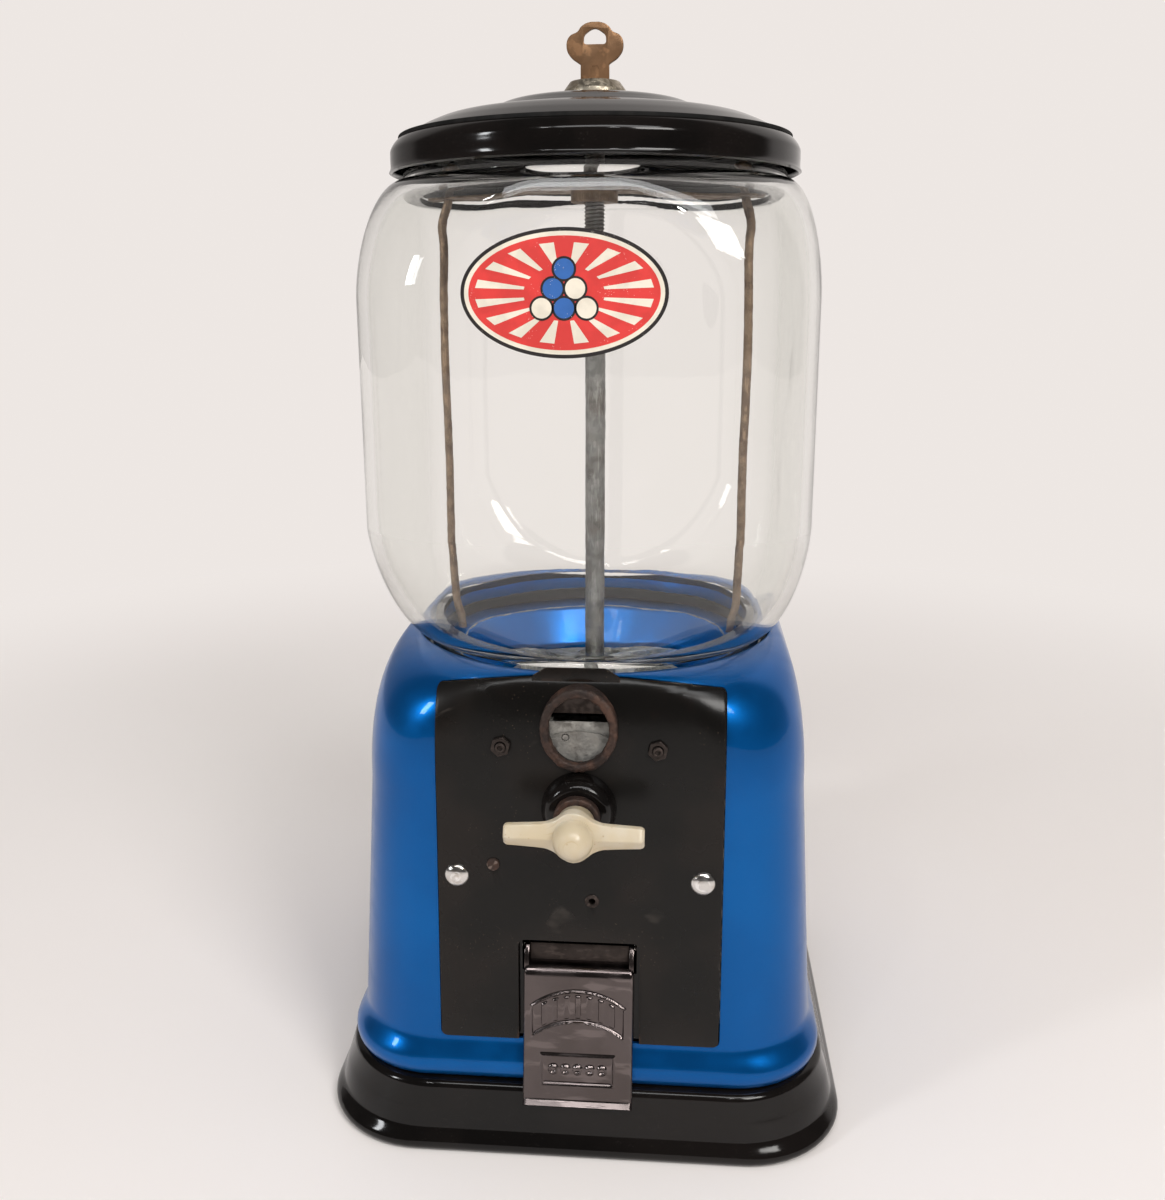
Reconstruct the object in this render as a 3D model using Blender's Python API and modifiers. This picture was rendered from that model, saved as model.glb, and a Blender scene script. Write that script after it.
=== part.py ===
# A counter-top gumball machine: pressed tray and casing, square glass globe, turned lid with
# a lock, a coin mechanism behind the front plate, and a chute with a hinged flap.
# Lengths are in metres, +Z is up and the front faces -Y. The origin is the middle of the
# tray's underside. A value or table whose name ends in share or shares holds fractions.

import math

import bmesh
import bpy
from mathutils import Matrix, Vector

# Clearances and walls
gap = 0.0003                     # between pieces that touch on the real machine
panel_gap = 0.0005               # round the front plate, in the casing's opening
sheet = 0.0012                   # pressed steel of tray, casing, plate and lid
thin_sheet = 0.0010              # chute, flap and small brackets
overrun = 0.004                  # how far a cutter passes what it cuts
around = 24                      # steps round a square or turned shell

# Tray
tray_overhang = 0.0086           # of its bead beyond the casing's
tray_height = 0.025
tray_corner = 0.038
upstand_height = 0.0035          # locates the casing

# Casing
foot_tuck = 0.0027               # of the casing's foot in from its bead
wall_tuck = 0.0037               # of the walls' foot in from the bead
wall_lean = 0.0047               # of the walls, from their foot to their top
casing_corner = 0.032
bead_height = 0.0164
casing_rise = 0.0464             # of the casing's top above the handle's axis
shoulder_height = 0.0474
shoulder_reach = 0.0090          # of the walls' top beyond the mouth
lip_depth = 0.0107
ledge_width = 0.0104             # from its inner edge to the mouth
ledge_margin = 0.0045            # of the ledge's inner edge outside the wheel's housing

# Front plate
plate_half = 0.0507
plate_top_drop = 0.0017          # of its arched top below the casing's
plate_arch_rise = 0.0048
plate_corner = 0.0025
tab_left = 0.017
tab_right = 0.014
tab_rise = 0.0050                # of the tab above the arched top
tab_root = 0.0030                # of the tab below the arched top
tab_depth = 0.0052               # depths and reaches are from the walls' top
cover_screw_inset = 0.0067       # in from the plate's edges
cover_screw_height = 0.0633      # above the plate's foot
cover_screw_radius = 0.0045
cover_screw_rise = 0.0026
screw_shank_radius = 0.0019
screw_shank_length = 0.008
strip_inner_lap = 0.0060         # of the strips behind the plate, inside their screws
strip_outer_lap = 0.0063         # of the strips behind the casing, outside the plate
strip_drop = 0.015               # of their top below the plate's
strip_rise = 0.008               # above the plate's foot

# Coin window and its rim
window_rise = 0.0318             # above the handle's axis
window_half_width = 0.01115
window_half_height = 0.0133
rim_wall = 0.0031
rim_reach = 0.0027
rim_edge = 0.0007

# Handle, shaft and drive
axis_rise = 0.0510               # of the handle's axis above the flap's opening
shaft_radius = 0.0035
shaft_end = 0.0028               # of the shaft behind its pinion
boss_radius = 0.01335
boss_nose_radius = 0.0093
boss_reach = 0.0084
boss_dome = 0.0075
boss_tube_radius = 0.006
boss_depth = 0.0026
collar_radius = 0.0082
collar_length = 0.0037
collar_edge = 0.0005
handle_length = 0.0473
handle_hub_height = 0.0204
handle_thickness = 0.0068
handle_edge = 0.0012
handle_neck_radius = 0.0072
handle_neck_length = 0.0097      # from the collar to the middle of the wings
handle_dome_radius = 0.00685
handle_dome_rise = 0.0105        # from the middle of the wings
handle_tilt = math.radians(5.7)
hub_plate_radius = 0.027
hub_plate_depth = 0.0030
hub_rivet_place = (-0.0050, 0.0247)   # right of the axis, above the axis
hub_rivet_radius = 0.0014
hub_rivet_rise = 0.00025
ledge_depth = 0.0043
coin_ledge_rise = 0.0314         # of the coin ledge's straight edge above the handle's axis
coin_ledge_half = 0.0315
coin_ledge_depth = 0.0154
coin_wheel_radius = 0.0320
coin_wheel_depth = 0.0056
coin_wheel_thickness = 0.0022
coin_radius = 0.0095
coin_slack = 0.0003
ratchet_radius = 0.020
ratchet_depth = 0.0081
ratchet_thickness = 0.0020
ratchet_teeth = 12
tooth_depth = 0.0030
pawl_contact = math.radians(187)  # where the pawl's tip meets the ratchet
pawl_pivot_place = (-0.0307, -0.0222)
pawl_pivot_radius = 0.0016
pawl_ring_radius = 0.0040
pawl_ring_open = math.radians(70)
pawl_arm_half = 0.0016
pawl_peg_reach = 0.009
pawl_peg_radius = 0.0009
spring_screw_place = (0.0047, -0.0351)
spring_screw_radius = 0.0018
spring_screw_depth = 0.0141
spring_radius = 0.0015
spring_wire_radius = 0.00035
spring_turns = 7
spring_steps = 6
bearing_depth = 0.0156
bearing_half = 0.034
bearing_top_rise = 0.028
bearing_foot_drop = 0.0395
stud_place = (0.0275, 0.022)
stud_radius = 0.0020
stud_depth = 0.0181
stud_show = 0.0007
nut_across = 0.0063
nut_thickness = 0.0025
pinion_teeth = 6
pinion_root_radius = 0.0058
pinion_tip_radius = 0.0100
pinion_clearance = 0.0001        # of its root below the housing's floor
pinion_thickness = 0.0040
tooth_root_half = 0.0015
tooth_tip_half = 0.0008

# Gumball wheel, its housing and the hopper
ball_pocket_radius = 0.00975
ball_pockets = 6
pocket_margin = 0.0135           # of the pockets' middles in from the drum's edge
ball_diameter = 0.016
drum_radius = 0.0430
drum_height = 0.0118
drum_crown = 0.0010
drum_edge = 0.0014
flange_margin = 0.0025           # outside the slots
flange_thickness = 0.0016
slot_margin = 0.0015             # outside the drum
slot_length = 0.0070
slot_half = 0.0023
slots_per_tooth = 6
housing_floor = 0.0015
housing_clearance = 0.0013       # round the wheel's flange
outlet_radius = 0.0100
pinion_window_half = 0.0115
pinion_window_margin = 0.0020
lug_half = 0.007
lug_wall = 0.0028                # round the shaft and along it
lug_reach = 0.0062               # ahead of the pinion's front
bushing_radius = 0.0062
bushing_height = 0.0132
retainer_radius = 0.0090
retainer_height = 0.0060
lower_nut_across = 0.0125
lower_nut_height = 0.0060
hopper_flat_margin = 0.0015      # of the flat's inner edge inside the housing
hopper_neck_margin = 0.0021      # of the neck's outside round the drum
hopper_neck_rise = 0.0020        # above the wheel's drum
hopper_neck_clearance = 0.0024   # above the wheel's flange
cut_off_clearance = 0.0008
cut_off_inner = 0.0130
cut_off_angle = math.radians(36)

# Chute and flap
duct_half = 0.012
duct_front_reach = 0.0120        # ahead of the pocket's middle
duct_back_reach = 0.0125
duct_front_drop = 0.028          # of the duct's foot below the handle's axis
duct_back_drop = 0.036
chute_mouth_half = 0.0183
chute_mouth_drop = 0.013         # below the opening's top; higher, the ears need more width
chute_mouth_rise = 0.0018        # above the plate's foot
frame_half = 0.028
frame_rise = 0.0045              # above the opening's top
opening_half = 0.022
opening_height = 0.0393          # of the flap's opening above the plate's foot
opening_corner = 0.003
flap_half = 0.01985
flap_pivot_depth = 0.0021
flap_pivot_drop = 0.0050         # below the opening's top
flap_bend = (-0.0070, -0.0030)        # from the pin: y and z of the flap's top bend
flap_strip_back = (-0.0005, 0.0032)
flap_toe_reach = 0.0163          # ahead of the pin
flap_toe_drop = 0.0015           # below the tray's rim
flap_lip_reach = 0.0013          # beyond the toe
flap_lip_drop = 0.0017
flap_side = 0.0030
flap_ear_drop = 0.004
ear_radius = 0.0032
ear_start = math.radians(60)
bend_radius = 0.0012
pin_radius = 0.0012
hinge_lug_back = 0.0030          # sizes of the hinge's lugs, from the pin
hinge_lug_top = 0.0040
hinge_lug_foot = 0.0045
hinge_lug_front = 0.0031
lug_inner_half = 0.0208

# Globe and its gaskets
globe_flare = 0.0137             # of the walls beyond the foot
globe_corner = 0.040
glass_wall = 0.0040
globe_foot_inset = 0.0039        # of the foot in the casing's mouth
globe_foot_straight = 0.0070
globe_base_height = 0.0477
globe_wall_height = 0.0800
globe_shoulder_height = 0.0420
globe_neck_inset = 0.0096        # of the neck in from the walls
globe_neck_height = 0.0140
gasket_thickness = 0.0015
gasket_wall = 0.0018
gasket_upstand = 0.0035
upper_gasket_inset = 0.0051      # inside the neck's outer skin
upper_gasket_margin = 0.0014     # outside it

# Rods and crossbar
rod_radius = 0.0039
rod_foot = 0.0043
rod_top_drop = 0.0140            # below the lid's top
rod_socket_radius = 0.009
rod_socket_height = 0.016
side_rod_inset = 0.0025          # of the rods' feet on the hopper's flat
side_rod_radius = 0.0018
side_rod_hook = 0.0045
crossbar_end = 0.0080            # of the bar beyond its side rods
crossbar_half_width = 0.0120
crossbar_end_half_width = 0.0045
crossbar_thickness = 0.0015
crossbar_drop = 0.0160           # below the globe's top
crossbar_hub_radius = 0.0088
crossbar_hub_drop = 0.0045
crossbar_nut_across = 0.0165
crossbar_nut_height = 0.0052

# Lid, lock and key
lid_margin = 0.0044              # of the lid's rim round the globe's neck
lid_overlap = 0.0080             # of the lid's rim below the globe's top
lid_rise = 0.0260
lid_hole_radius = 0.0100
lock_flange_radius = 0.0120
lock_flange_height = 0.0017
lock_head_radius = 0.0108
lock_head_height = 0.0020
lock_barrel_radius = 0.0096
lock_barrel_length = 0.0195
lock_web = 0.0020
lock_nut_across = 0.0240
lock_nut_height = 0.0045
plug_radius = 0.0054
plug_rise = 0.0003
key_slot_depth = 0.0115
key_thickness = 0.0020
key_blade_half = 0.0040
key_neck_half = 0.0053
key_neck_height = 0.0054
key_bow_half = 0.0105
key_bow_height = 0.0148
key_hole_half_width = 0.0040
key_hole_half_height = 0.0029

# Shapes as shares, chosen by hand
tray_foot_shares = ((0.968, 0.0), (1.0, 0.13))          # width, height
tray_waist_share = 0.970
tray_waist_height_share = 0.40
tray_top_share = 0.935
tray_rim_share = 0.903
casing_bead_share = 0.35                                 # height of the bead's middle
globe_fullness_share = 1.20                              # power on the base's quarter round
tab_slope_share = 0.30
socket_top_share = 0.75
rivet_head_share = 1.45
rivet_hollow_share = 0.65
cut_off_wall_share = 1.20                                # of the hopper's wall, across its cone
crossbar_shoulder_share = 0.35
key_hole_share = 0.65
lid_shares = (                                           # radius, height above the rim
    (0.360, 1.000), (0.400, 0.958), (0.460, 0.868), (0.560, 0.826), (0.720, 0.752),
    (0.820, 0.640), (0.880, 0.505), (0.935, 0.474), (0.980, 0.405), (1.000, 0.280),
    (1.000, 0.045), (1.010, 0.000),
)
side_rod_sway_shares = (                                 # height, sideways in rod radii
    (0.00, 0.0), (0.10, 0.3), (0.19, 0.1), (0.23, -1.0), (0.40, -0.9), (0.62, -1.2),
    (0.84, -1.0), (0.90, -1.4), (0.955, -0.2), (1.00, 0.0),
)
handle_outline_shares = (                                # length, height of the upper edge
    (0.00, 1.00), (0.17, 0.90), (0.28, 0.68), (0.38, 0.52), (0.55, 0.42), (0.97, 0.45),
)
key_bow_shares = (                                       # half width, height
    (0.50, 0.00), (0.78, 0.12), (0.97, 0.31), (1.00, 0.50), (0.88, 0.69), (0.60, 0.79),
    (0.47, 0.90), (0.22, 0.99),
)

# Widths and depths that follow from the sizes, from the wheel out to the walls
slot_inner = drum_radius + slot_margin
slot_outer = slot_inner + slot_length
flange_radius = slot_outer + flange_margin
housing_radius = flange_radius + housing_clearance + sheet
pocket_circle = drum_radius - pocket_margin
hopper_neck_radius = drum_radius + hopper_neck_margin
hopper_flat_radius = housing_radius - hopper_flat_margin
duct_front = pocket_circle + duct_front_reach
duct_back = pocket_circle - duct_back_reach
cover_screw_place = plate_half - cover_screw_inset
strip_inner = cover_screw_place - strip_inner_lap
strip_outer = plate_half + strip_outer_lap
ledge_radius = housing_radius + ledge_margin
mouth_radius = ledge_radius + ledge_width
wall_top_half = mouth_radius + sheet + shoulder_reach
wall_foot_half = wall_top_half + wall_lean
casing_half = wall_foot_half + wall_tuck
casing_foot_half = casing_half - foot_tuck
tray_half = casing_half + tray_overhang
globe_foot_radius = mouth_radius - globe_foot_inset
globe_half = globe_foot_radius + globe_flare
globe_neck_radius = globe_half - globe_neck_inset
upper_gasket_inner = globe_neck_radius - upper_gasket_inset
upper_gasket_outer = globe_neck_radius + upper_gasket_margin
side_rod_place = hopper_flat_radius + side_rod_inset
crossbar_half = side_rod_place + crossbar_end
lid_radius = globe_neck_radius + lid_margin
tab_front = wall_top_half - tab_depth
rim_front = wall_top_half + rim_reach
boss_front = wall_top_half + boss_reach
boss_back = wall_top_half - boss_depth
hub_plate_front = wall_top_half - hub_plate_depth
ledge_front = wall_top_half - ledge_depth
coin_wheel_front = wall_top_half - coin_wheel_depth
ratchet_front = wall_top_half - ratchet_depth
spring_screw_back = wall_top_half - spring_screw_depth
bearing_front = wall_top_half - bearing_depth
stud_back = wall_top_half - stud_depth
handle_back = boss_front + gap + collar_length + gap
handle_middle = handle_back + handle_neck_length
handle_front = handle_middle + handle_dome_rise
shaft_front = handle_middle
slot_middle = (slot_inner + slot_outer) / 2
pinion_front = slot_middle + pinion_thickness / 2
shaft_back = pinion_front - pinion_thickness - shaft_end
lug_front = pinion_front + lug_reach

# Heights that follow from the sizes
casing_foot = tray_height + gap
bead_top = casing_foot + bead_height
opening_top = bead_top + opening_height
axis_height = opening_top + axis_rise
casing_top = axis_height + casing_rise
wall_top = casing_top - shoulder_height
wall_height = wall_top - bead_top
plate_top_height = casing_top - plate_top_drop - bead_top
chute_mouth_top = opening_top - chute_mouth_drop
chute_mouth_foot = bead_top + chute_mouth_rise
flap_pivot_place = (flap_pivot_depth - wall_top_half, opening_top - flap_pivot_drop)
flap_toe = (-flap_toe_reach, tray_height - flap_toe_drop - flap_pivot_place[1])
flap_lip = (flap_toe[0] - flap_lip_reach, flap_toe[1] - flap_lip_drop)
wheel_floor_height = axis_height + pinion_root_radius + pinion_clearance
ledge_top = casing_top - lip_depth
hopper_seat = ledge_top + gap
gasket_foot = hopper_seat + sheet + gap
globe_foot = gasket_foot + gasket_thickness + gap
globe_wall_foot = globe_foot + globe_foot_straight + globe_base_height
globe_wall_top = globe_wall_foot + globe_wall_height
globe_top = globe_wall_top + globe_shoulder_height + globe_neck_height
crossbar_height = globe_top - crossbar_drop
lid_rim_height = globe_top - lid_overlap
lid_top = lid_rim_height + lid_rise
rod_top = lid_top - rod_top_drop
lock_seat = lid_top + gap
lock_top = lock_seat + lock_flange_height + lock_head_height
drum_foot = wheel_floor_height + gap
plate_foot_drop = axis_height - bead_top                 # of the plate's foot below the axis
drum_top = drum_foot + drum_height
hopper_neck_top = drum_top + hopper_neck_rise
hopper_neck_foot = drum_foot + flange_thickness + hopper_neck_clearance

# Colours: red, green, blue, roughness, metallic, glass
paints = {
    "blue_paint": (0.006, 0.125, 0.410, 0.25, 0.60, 0.0),
    "black_gloss": (0.006, 0.006, 0.007, 0.10, 0.0, 0.0),
    "black_worn": (0.012, 0.010, 0.009, 0.30, 0.0, 0.0),
    "ivory_plastic": (0.84, 0.72, 0.46, 0.30, 0.0, 0.0),
    "polished_metal": (0.62, 0.60, 0.59, 0.16, 1.0, 0.0),
    "flap_metal": (0.30, 0.28, 0.28, 0.25, 1.0, 0.0),
    "dull_steel": (0.20, 0.19, 0.18, 0.45, 1.0, 0.0),
    "rusty_steel": (0.09, 0.045, 0.03, 0.75, 0.4, 0.0),
    "rod_brown": (0.24, 0.17, 0.11, 0.50, 0.8, 0.0),
    "lock_nickel": (0.45, 0.38, 0.28, 0.35, 1.0, 0.0),
    "key_brass": (0.24, 0.14, 0.07, 0.45, 0.9, 0.0),
    "cast_metal": (0.33, 0.33, 0.32, 0.55, 0.9, 0.0),
    "rubber": (0.02, 0.02, 0.02, 0.80, 0.0, 0.0),
    "glass": (0.90, 0.95, 0.92, 0.03, 0.0, 1.0),
}


def clear_scene():
    for thing in list(bpy.data.objects):
        bpy.data.objects.remove(thing)


def new_collection(name):
    group = bpy.data.collections.new(name)
    bpy.context.scene.collection.children.link(group)
    return group


clear_scene()
parts = new_collection("gumball_machine")
cutters = new_collection("cutters")


def paint(name):
    """One Principled material for each finish, made the first time it is asked for."""
    found = bpy.data.materials.get(name)
    if found:
        return found
    red, green, blue, roughness, metallic, clear = paints[name]
    made = bpy.data.materials.new(name)
    made.use_nodes = True
    shader = made.node_tree.nodes["Principled BSDF"]
    shader.inputs["Base Color"].default_value = (red, green, blue, 1.0)
    shader.inputs["Roughness"].default_value = roughness
    shader.inputs["Metallic"].default_value = metallic
    shader.inputs["Transmission Weight"].default_value = clear
    made.diffuse_color = (red, green, blue, 1.0)
    return made


def add_object(name, mesh, finish=None):
    """Put a mesh in the model, or among the cutters when it has no finish."""
    thing = bpy.data.objects.new(name, mesh)
    if finish:
        parts.objects.link(thing)
        mesh.materials.clear()
        mesh.materials.append(paint(finish))
        mesh.shade_smooth()
        mesh.set_sharp_from_angle(angle=math.radians(35))
    else:
        cutters.objects.link(thing)
        thing.hide_render = True
        thing.display_type = "WIRE"
    return thing


def combine(target, tool, operation):
    change = target.modifiers.new(operation.lower(), "BOOLEAN")
    change.operation = operation
    change.solver = "EXACT"
    change.object = tool
    return target


def cut(target, *tools):
    for tool in tools:
        combine(target, tool, "DIFFERENCE")
    return target


def join(target, *tools):
    for tool in tools:
        combine(target, tool, "UNION")
    return target


def keep_inside(target, tool):
    return combine(target, tool, "INTERSECT")


def finish_mesh(bm, name):
    """Write a bmesh to a new mesh, with its faces pointing out."""
    bmesh.ops.recalc_face_normals(bm, faces=bm.faces)
    mesh = bpy.data.meshes.new(name)
    bm.to_mesh(mesh)
    bm.free()
    return mesh


def upright_to_forward():
    """Turns a shape made along +Z so that it lies along -Y, with its own +Y pointing up."""
    return Matrix.Rotation(math.radians(90), 4, "X")


def box(name, low, high, finish=None):
    """A box between two corners, from a unit cube."""
    bm = bmesh.new()
    bmesh.ops.create_cube(bm, size=1.0)
    size = [b - a for a, b in zip(low, high)]
    middle = [(a + b) / 2 for a, b in zip(low, high)]
    bmesh.ops.scale(bm, vec=size, verts=bm.verts)
    bmesh.ops.translate(bm, vec=middle, verts=bm.verts)
    return add_object(name, finish_mesh(bm, name), finish)


def rod_between(name, low, high, radius, steps, place, finish=None, twist=0.0):
    """A round or many-sided rod along the place's own Z axis."""
    bm = bmesh.new()
    bmesh.ops.create_cone(bm, cap_ends=True, segments=steps, radius1=radius, radius2=radius,
                          depth=high - low)
    bmesh.ops.rotate(bm, verts=bm.verts, matrix=Matrix.Rotation(twist, 3, "Z"))
    bmesh.ops.translate(bm, vec=(0, 0, (low + high) / 2), verts=bm.verts)
    bmesh.ops.transform(bm, matrix=place, verts=bm.verts)
    return add_object(name, finish_mesh(bm, name), finish)


def forward_rod(name, back, front, radius, steps, right=0.0, rise=0.0, finish=None, twist=0.0):
    """A rod that lies along -Y, between two distances ahead of the machine's middle."""
    place = Matrix.Translation((right, 0.0, axis_height + rise)) @ upright_to_forward()
    return rod_between(name, back, front, radius, steps, place, finish, twist)


def turned(name, profile, finish=None, place=None, closed=True, steps=around, wall=0.0):
    """A turned shape: radius and height pairs, run down the outer side, under a Screw."""
    bm = bmesh.new()
    points = [bm.verts.new((radius, 0.0, height)) for radius, height in profile]
    for first, second in zip(points, points[1:]):
        bm.edges.new((first, second))
    if closed:
        bm.edges.new((points[-1], points[0]))
    mesh = bpy.data.meshes.new(name)
    bm.to_mesh(mesh)
    bm.free()
    thing = add_object(name, mesh, finish)
    if place:
        thing.matrix_world = place
    screw = thing.modifiers.new("turn", "SCREW")
    screw.steps = steps
    screw.render_steps = steps
    screw.use_merge_vertices = True
    screw.merge_threshold = 0.00001
    if wall:
        thicken(thing, wall)
    return thing


def thicken(thing, wall):
    """Give an open surface its wall, on the side away from its outer skin."""
    shell = thing.modifiers.new("wall", "SOLIDIFY")
    shell.thickness = wall
    shell.offset = -1.0
    shell.use_even_offset = True
    return thing


def facing_front(ahead=0.0, right=0.0, height=0.0):
    """A plane that faces -Y: its own X is right, its Y is up and its Z is ahead."""
    return Matrix.Translation((right, -ahead, height)) @ upright_to_forward()


def facing_right(middle=0.0, back=0.0, height=0.0):
    """A plane that faces +X: its own X is back, its Y is up."""
    turn = Matrix(((0, 0, 1, 0), (1, 0, 0, 0), (0, 1, 0, 0), (0, 0, 0, 1)))
    return Matrix.Translation((middle, back, height)) @ turn


def flat_piece(name, loops, thickness, place, finish=None, bevel=0.0):
    """Flat outlines, with holes where one lies in another, filled and given a thickness.

    The outlines lie in the place's own XY plane, which is the middle of the thickness.
    """
    curve = bpy.data.curves.new(name, "CURVE")
    curve.dimensions = "2D"
    curve.fill_mode = "BOTH"
    curve.extrude = thickness / 2
    for loop in loops:
        line = curve.splines.new("POLY")
        line.points.add(len(loop) - 1)
        line.use_cyclic_u = True
        for point, (x, y) in zip(line.points, loop):
            point.co = (x, y, 0.0, 1.0)
    return curve_to_mesh(name, curve, place, finish, bevel)


def front_piece(name, loops, back, front, finish=None, bevel=0.0, tilt=0.0):
    """A flat piece that faces the front, with outlines measured from the handle's axis."""
    place = facing_front((front + back) / 2, 0.0, axis_height) @ Matrix.Rotation(tilt, 4, "Z")
    return flat_piece(name, loops, front - back, place, finish, bevel)


def curve_to_mesh(name, curve, place, finish, bevel=0.0):
    """The curve's own mesh, with its caps joined to its sides."""
    guide = bpy.data.objects.new(name + "_curve", curve)
    cutters.objects.link(guide)
    bpy.context.view_layer.update()
    evaluated = guide.evaluated_get(bpy.context.evaluated_depsgraph_get())
    mesh = bpy.data.meshes.new_from_object(evaluated)
    bm = bmesh.new()
    bm.from_mesh(mesh)
    bmesh.ops.remove_doubles(bm, verts=bm.verts, dist=0.000001)
    bmesh.ops.recalc_face_normals(bm, faces=bm.faces)
    bm.transform(place)
    bm.to_mesh(mesh)
    bm.free()
    bpy.data.objects.remove(guide)
    thing = add_object(name, mesh, finish)
    if bevel:
        edge = thing.modifiers.new("edges", "BEVEL")
        edge.width = bevel
        edge.segments = 1
        edge.limit_method = "ANGLE"
        edge.angle_limit = math.radians(40)
    return thing


def wire(name, points, radius, finish, sides=2):
    """A bent wire through the points, with closed ends."""
    curve = bpy.data.curves.new(name, "CURVE")
    curve.dimensions = "3D"
    curve.bevel_depth = radius
    curve.bevel_resolution = sides
    curve.use_fill_caps = True
    line = curve.splines.new("POLY")
    line.points.add(len(points) - 1)
    for point, place in zip(line.points, points):
        point.co = (*place, 1.0)
    return curve_to_mesh(name, curve, Matrix.Identity(4), finish)


def circle(radius, steps, right=0.0, rise=0.0, start=0.0, turn=math.tau):
    """Points of a circle, or of an arc when turn is less than a full one."""
    count = steps if turn == math.tau else steps + 1
    angles = [start + turn * step / steps for step in range(count)]
    return [(right + radius * math.cos(a), rise + radius * math.sin(a)) for a in angles]


def oval(half_width, half_height, steps, right=0.0, rise=0.0):
    return [(right + half_width * x, rise + half_height * y) for x, y in circle(1.0, steps)]


def rounded(corners, radii, steps=4):
    """An outline with each corner replaced by an arc of its own radius."""
    points = []
    for index, (corner, radius) in enumerate(zip(corners, radii)):
        here = Vector(corner)
        before = (Vector(corners[index - 1]) - here).normalized()
        after = (Vector(corners[(index + 1) % len(corners)]) - here).normalized()
        if not radius:
            points.append(tuple(here))
            continue
        half = before.angle(after) / 2
        middle = here + (before + after).normalized() * radius / math.sin(half)
        first = here + before * radius / math.tan(half) - middle
        last = here + after * radius / math.tan(half) - middle
        sweep = first.angle_signed(last)
        for step in range(steps + 1):
            turn = Matrix.Rotation(-sweep * step / steps, 2)
            points.append(tuple(middle + turn @ first))
    return points


def square_ring(half, height, corner, roundness):
    """Points round a square with rounded corners, which is a circle at a roundness of 1."""
    radius = corner + (half - corner) * roundness
    flat = half - radius
    reach = radius / math.cos(math.pi / around)
    points = []
    for step in range(around):
        turn = math.tau * (step + 0.5) / around
        across, along = math.cos(turn), math.sin(turn)
        points.append((math.copysign(flat, across) + reach * across,
                       math.copysign(flat, along) + reach * along, height))
    return points


def loft(name, sections, corner, finish=None, close_foot=False, close_top=False):
    """A surface through square rings, from the lowest up, with its skin facing out."""
    bm = bmesh.new()
    rings = []
    for half, height, roundness in sections:
        ring = square_ring(half, height, corner, roundness)
        rings.append([bm.verts.new(point) for point in ring])
    for lower, upper in zip(rings, rings[1:]):
        for step in range(around):
            follow = (step + 1) % around
            bm.faces.new((lower[step], lower[follow], upper[follow], upper[step]))
    if close_foot:
        bm.faces.new(list(reversed(rings[0])))
    if close_top:
        bm.faces.new(rings[-1])
    mesh = bpy.data.meshes.new(name)
    bm.to_mesh(mesh)
    bm.free()
    return add_object(name, mesh, finish)


def quarter(start, end, steps, level_first, power=1.0):
    """A quarter round between two width and height pairs, without its first point."""
    points = []
    for step in range(1, steps + 1):
        turn = math.pi / 2 * step / steps
        ahead = math.sin(turn) ** power
        behind = 1 - math.cos(turn) ** power
        across, up = (ahead, behind) if level_first else (behind, ahead)
        points.append((start[0] + (end[0] - start[0]) * across,
                       start[1] + (end[1] - start[1]) * up))
    return points


def eased(start, end, steps):
    """An S curve between two width and height pairs, upright at both ends."""
    points = []
    for step in range(1, steps + 1):
        share = step / steps
        across = (1 - math.cos(math.pi * share)) / 2
        points.append((start[0] + (end[0] - start[0]) * across,
                       start[1] + (end[1] - start[1]) * share))
    return points


def casing_profile(inset=0.0, grow_top=0.0):
    """The casing's skin from its foot to the top of its shoulder, moved in by inset."""
    foot = (casing_foot_half - inset, casing_foot)
    bead = (casing_half - inset, casing_foot + bead_height * casing_bead_share)
    wall_foot = (wall_foot_half - inset, bead_top)
    wall_end = (wall_top_half - inset, wall_top)
    top = (mouth_radius + sheet - inset, casing_top + grow_top)
    sections = [(*foot, 0.0)]
    sections += [(*point, 0.0) for point in quarter(foot, bead, 2, True)]
    sections += [(*point, 0.0) for point in eased(bead, wall_foot, 3)]
    sections += [(*wall_end, 0.0)]
    steps = 5
    for step, point in enumerate(quarter(wall_end, top, steps, False), start=1):
        sections.append((*point, (step / steps) ** 3))
    return sections


def casing_block(name, inset, grow_top):
    """The casing's outer shape as a solid, for seating pieces on it."""
    return loft(name, casing_profile(inset, grow_top), casing_corner - inset, close_foot=True,
                close_top=True)


def plate_outline(margin=0.0):
    """The front plate's outline, arched at the top and taller by margin all round."""
    half = plate_half + margin
    foot = bead_top - margin - axis_height
    crown = bead_top + plate_top_height + margin - axis_height
    spring = crown - plate_arch_rise
    radius = (half ** 2 + plate_arch_rise ** 2) / (2 * plate_arch_rise)
    sweep = math.asin(half / radius)
    arch = circle(radius, 10, 0.0, crown - radius, math.pi / 2 - sweep, 2 * sweep)
    corners = [(half, foot), (half, spring), *arch[1:-1], (-half, spring), (-half, foot)]
    radii = [plate_corner, plate_corner, *[0.0] * (len(arch) - 2), plate_corner, plate_corner]
    return rounded(corners, radii, 3)


def make_tray():
    foot, bead = [(tray_half * width, tray_height * height) for width, height in tray_foot_shares]
    waist = (tray_half * tray_waist_share, tray_height * tray_waist_height_share)
    top = (tray_half * tray_top_share, tray_height * (1 - tray_foot_shares[1][1]))
    rim = (tray_half * tray_rim_share, tray_height)
    seat = (casing_foot_half - sheet - panel_gap, tray_height)
    outline = [foot, *quarter(foot, bead, 2, True), *eased(bead, waist, 3), top]
    outline += [*quarter(top, rim, 2, False), seat, (seat[0], tray_height + upstand_height)]
    sections = [(width, height, 0.0) for width, height in outline]
    tray = loft("base_tray", sections, tray_corner, "black_gloss", close_foot=True)
    thicken(tray, sheet)


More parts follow.
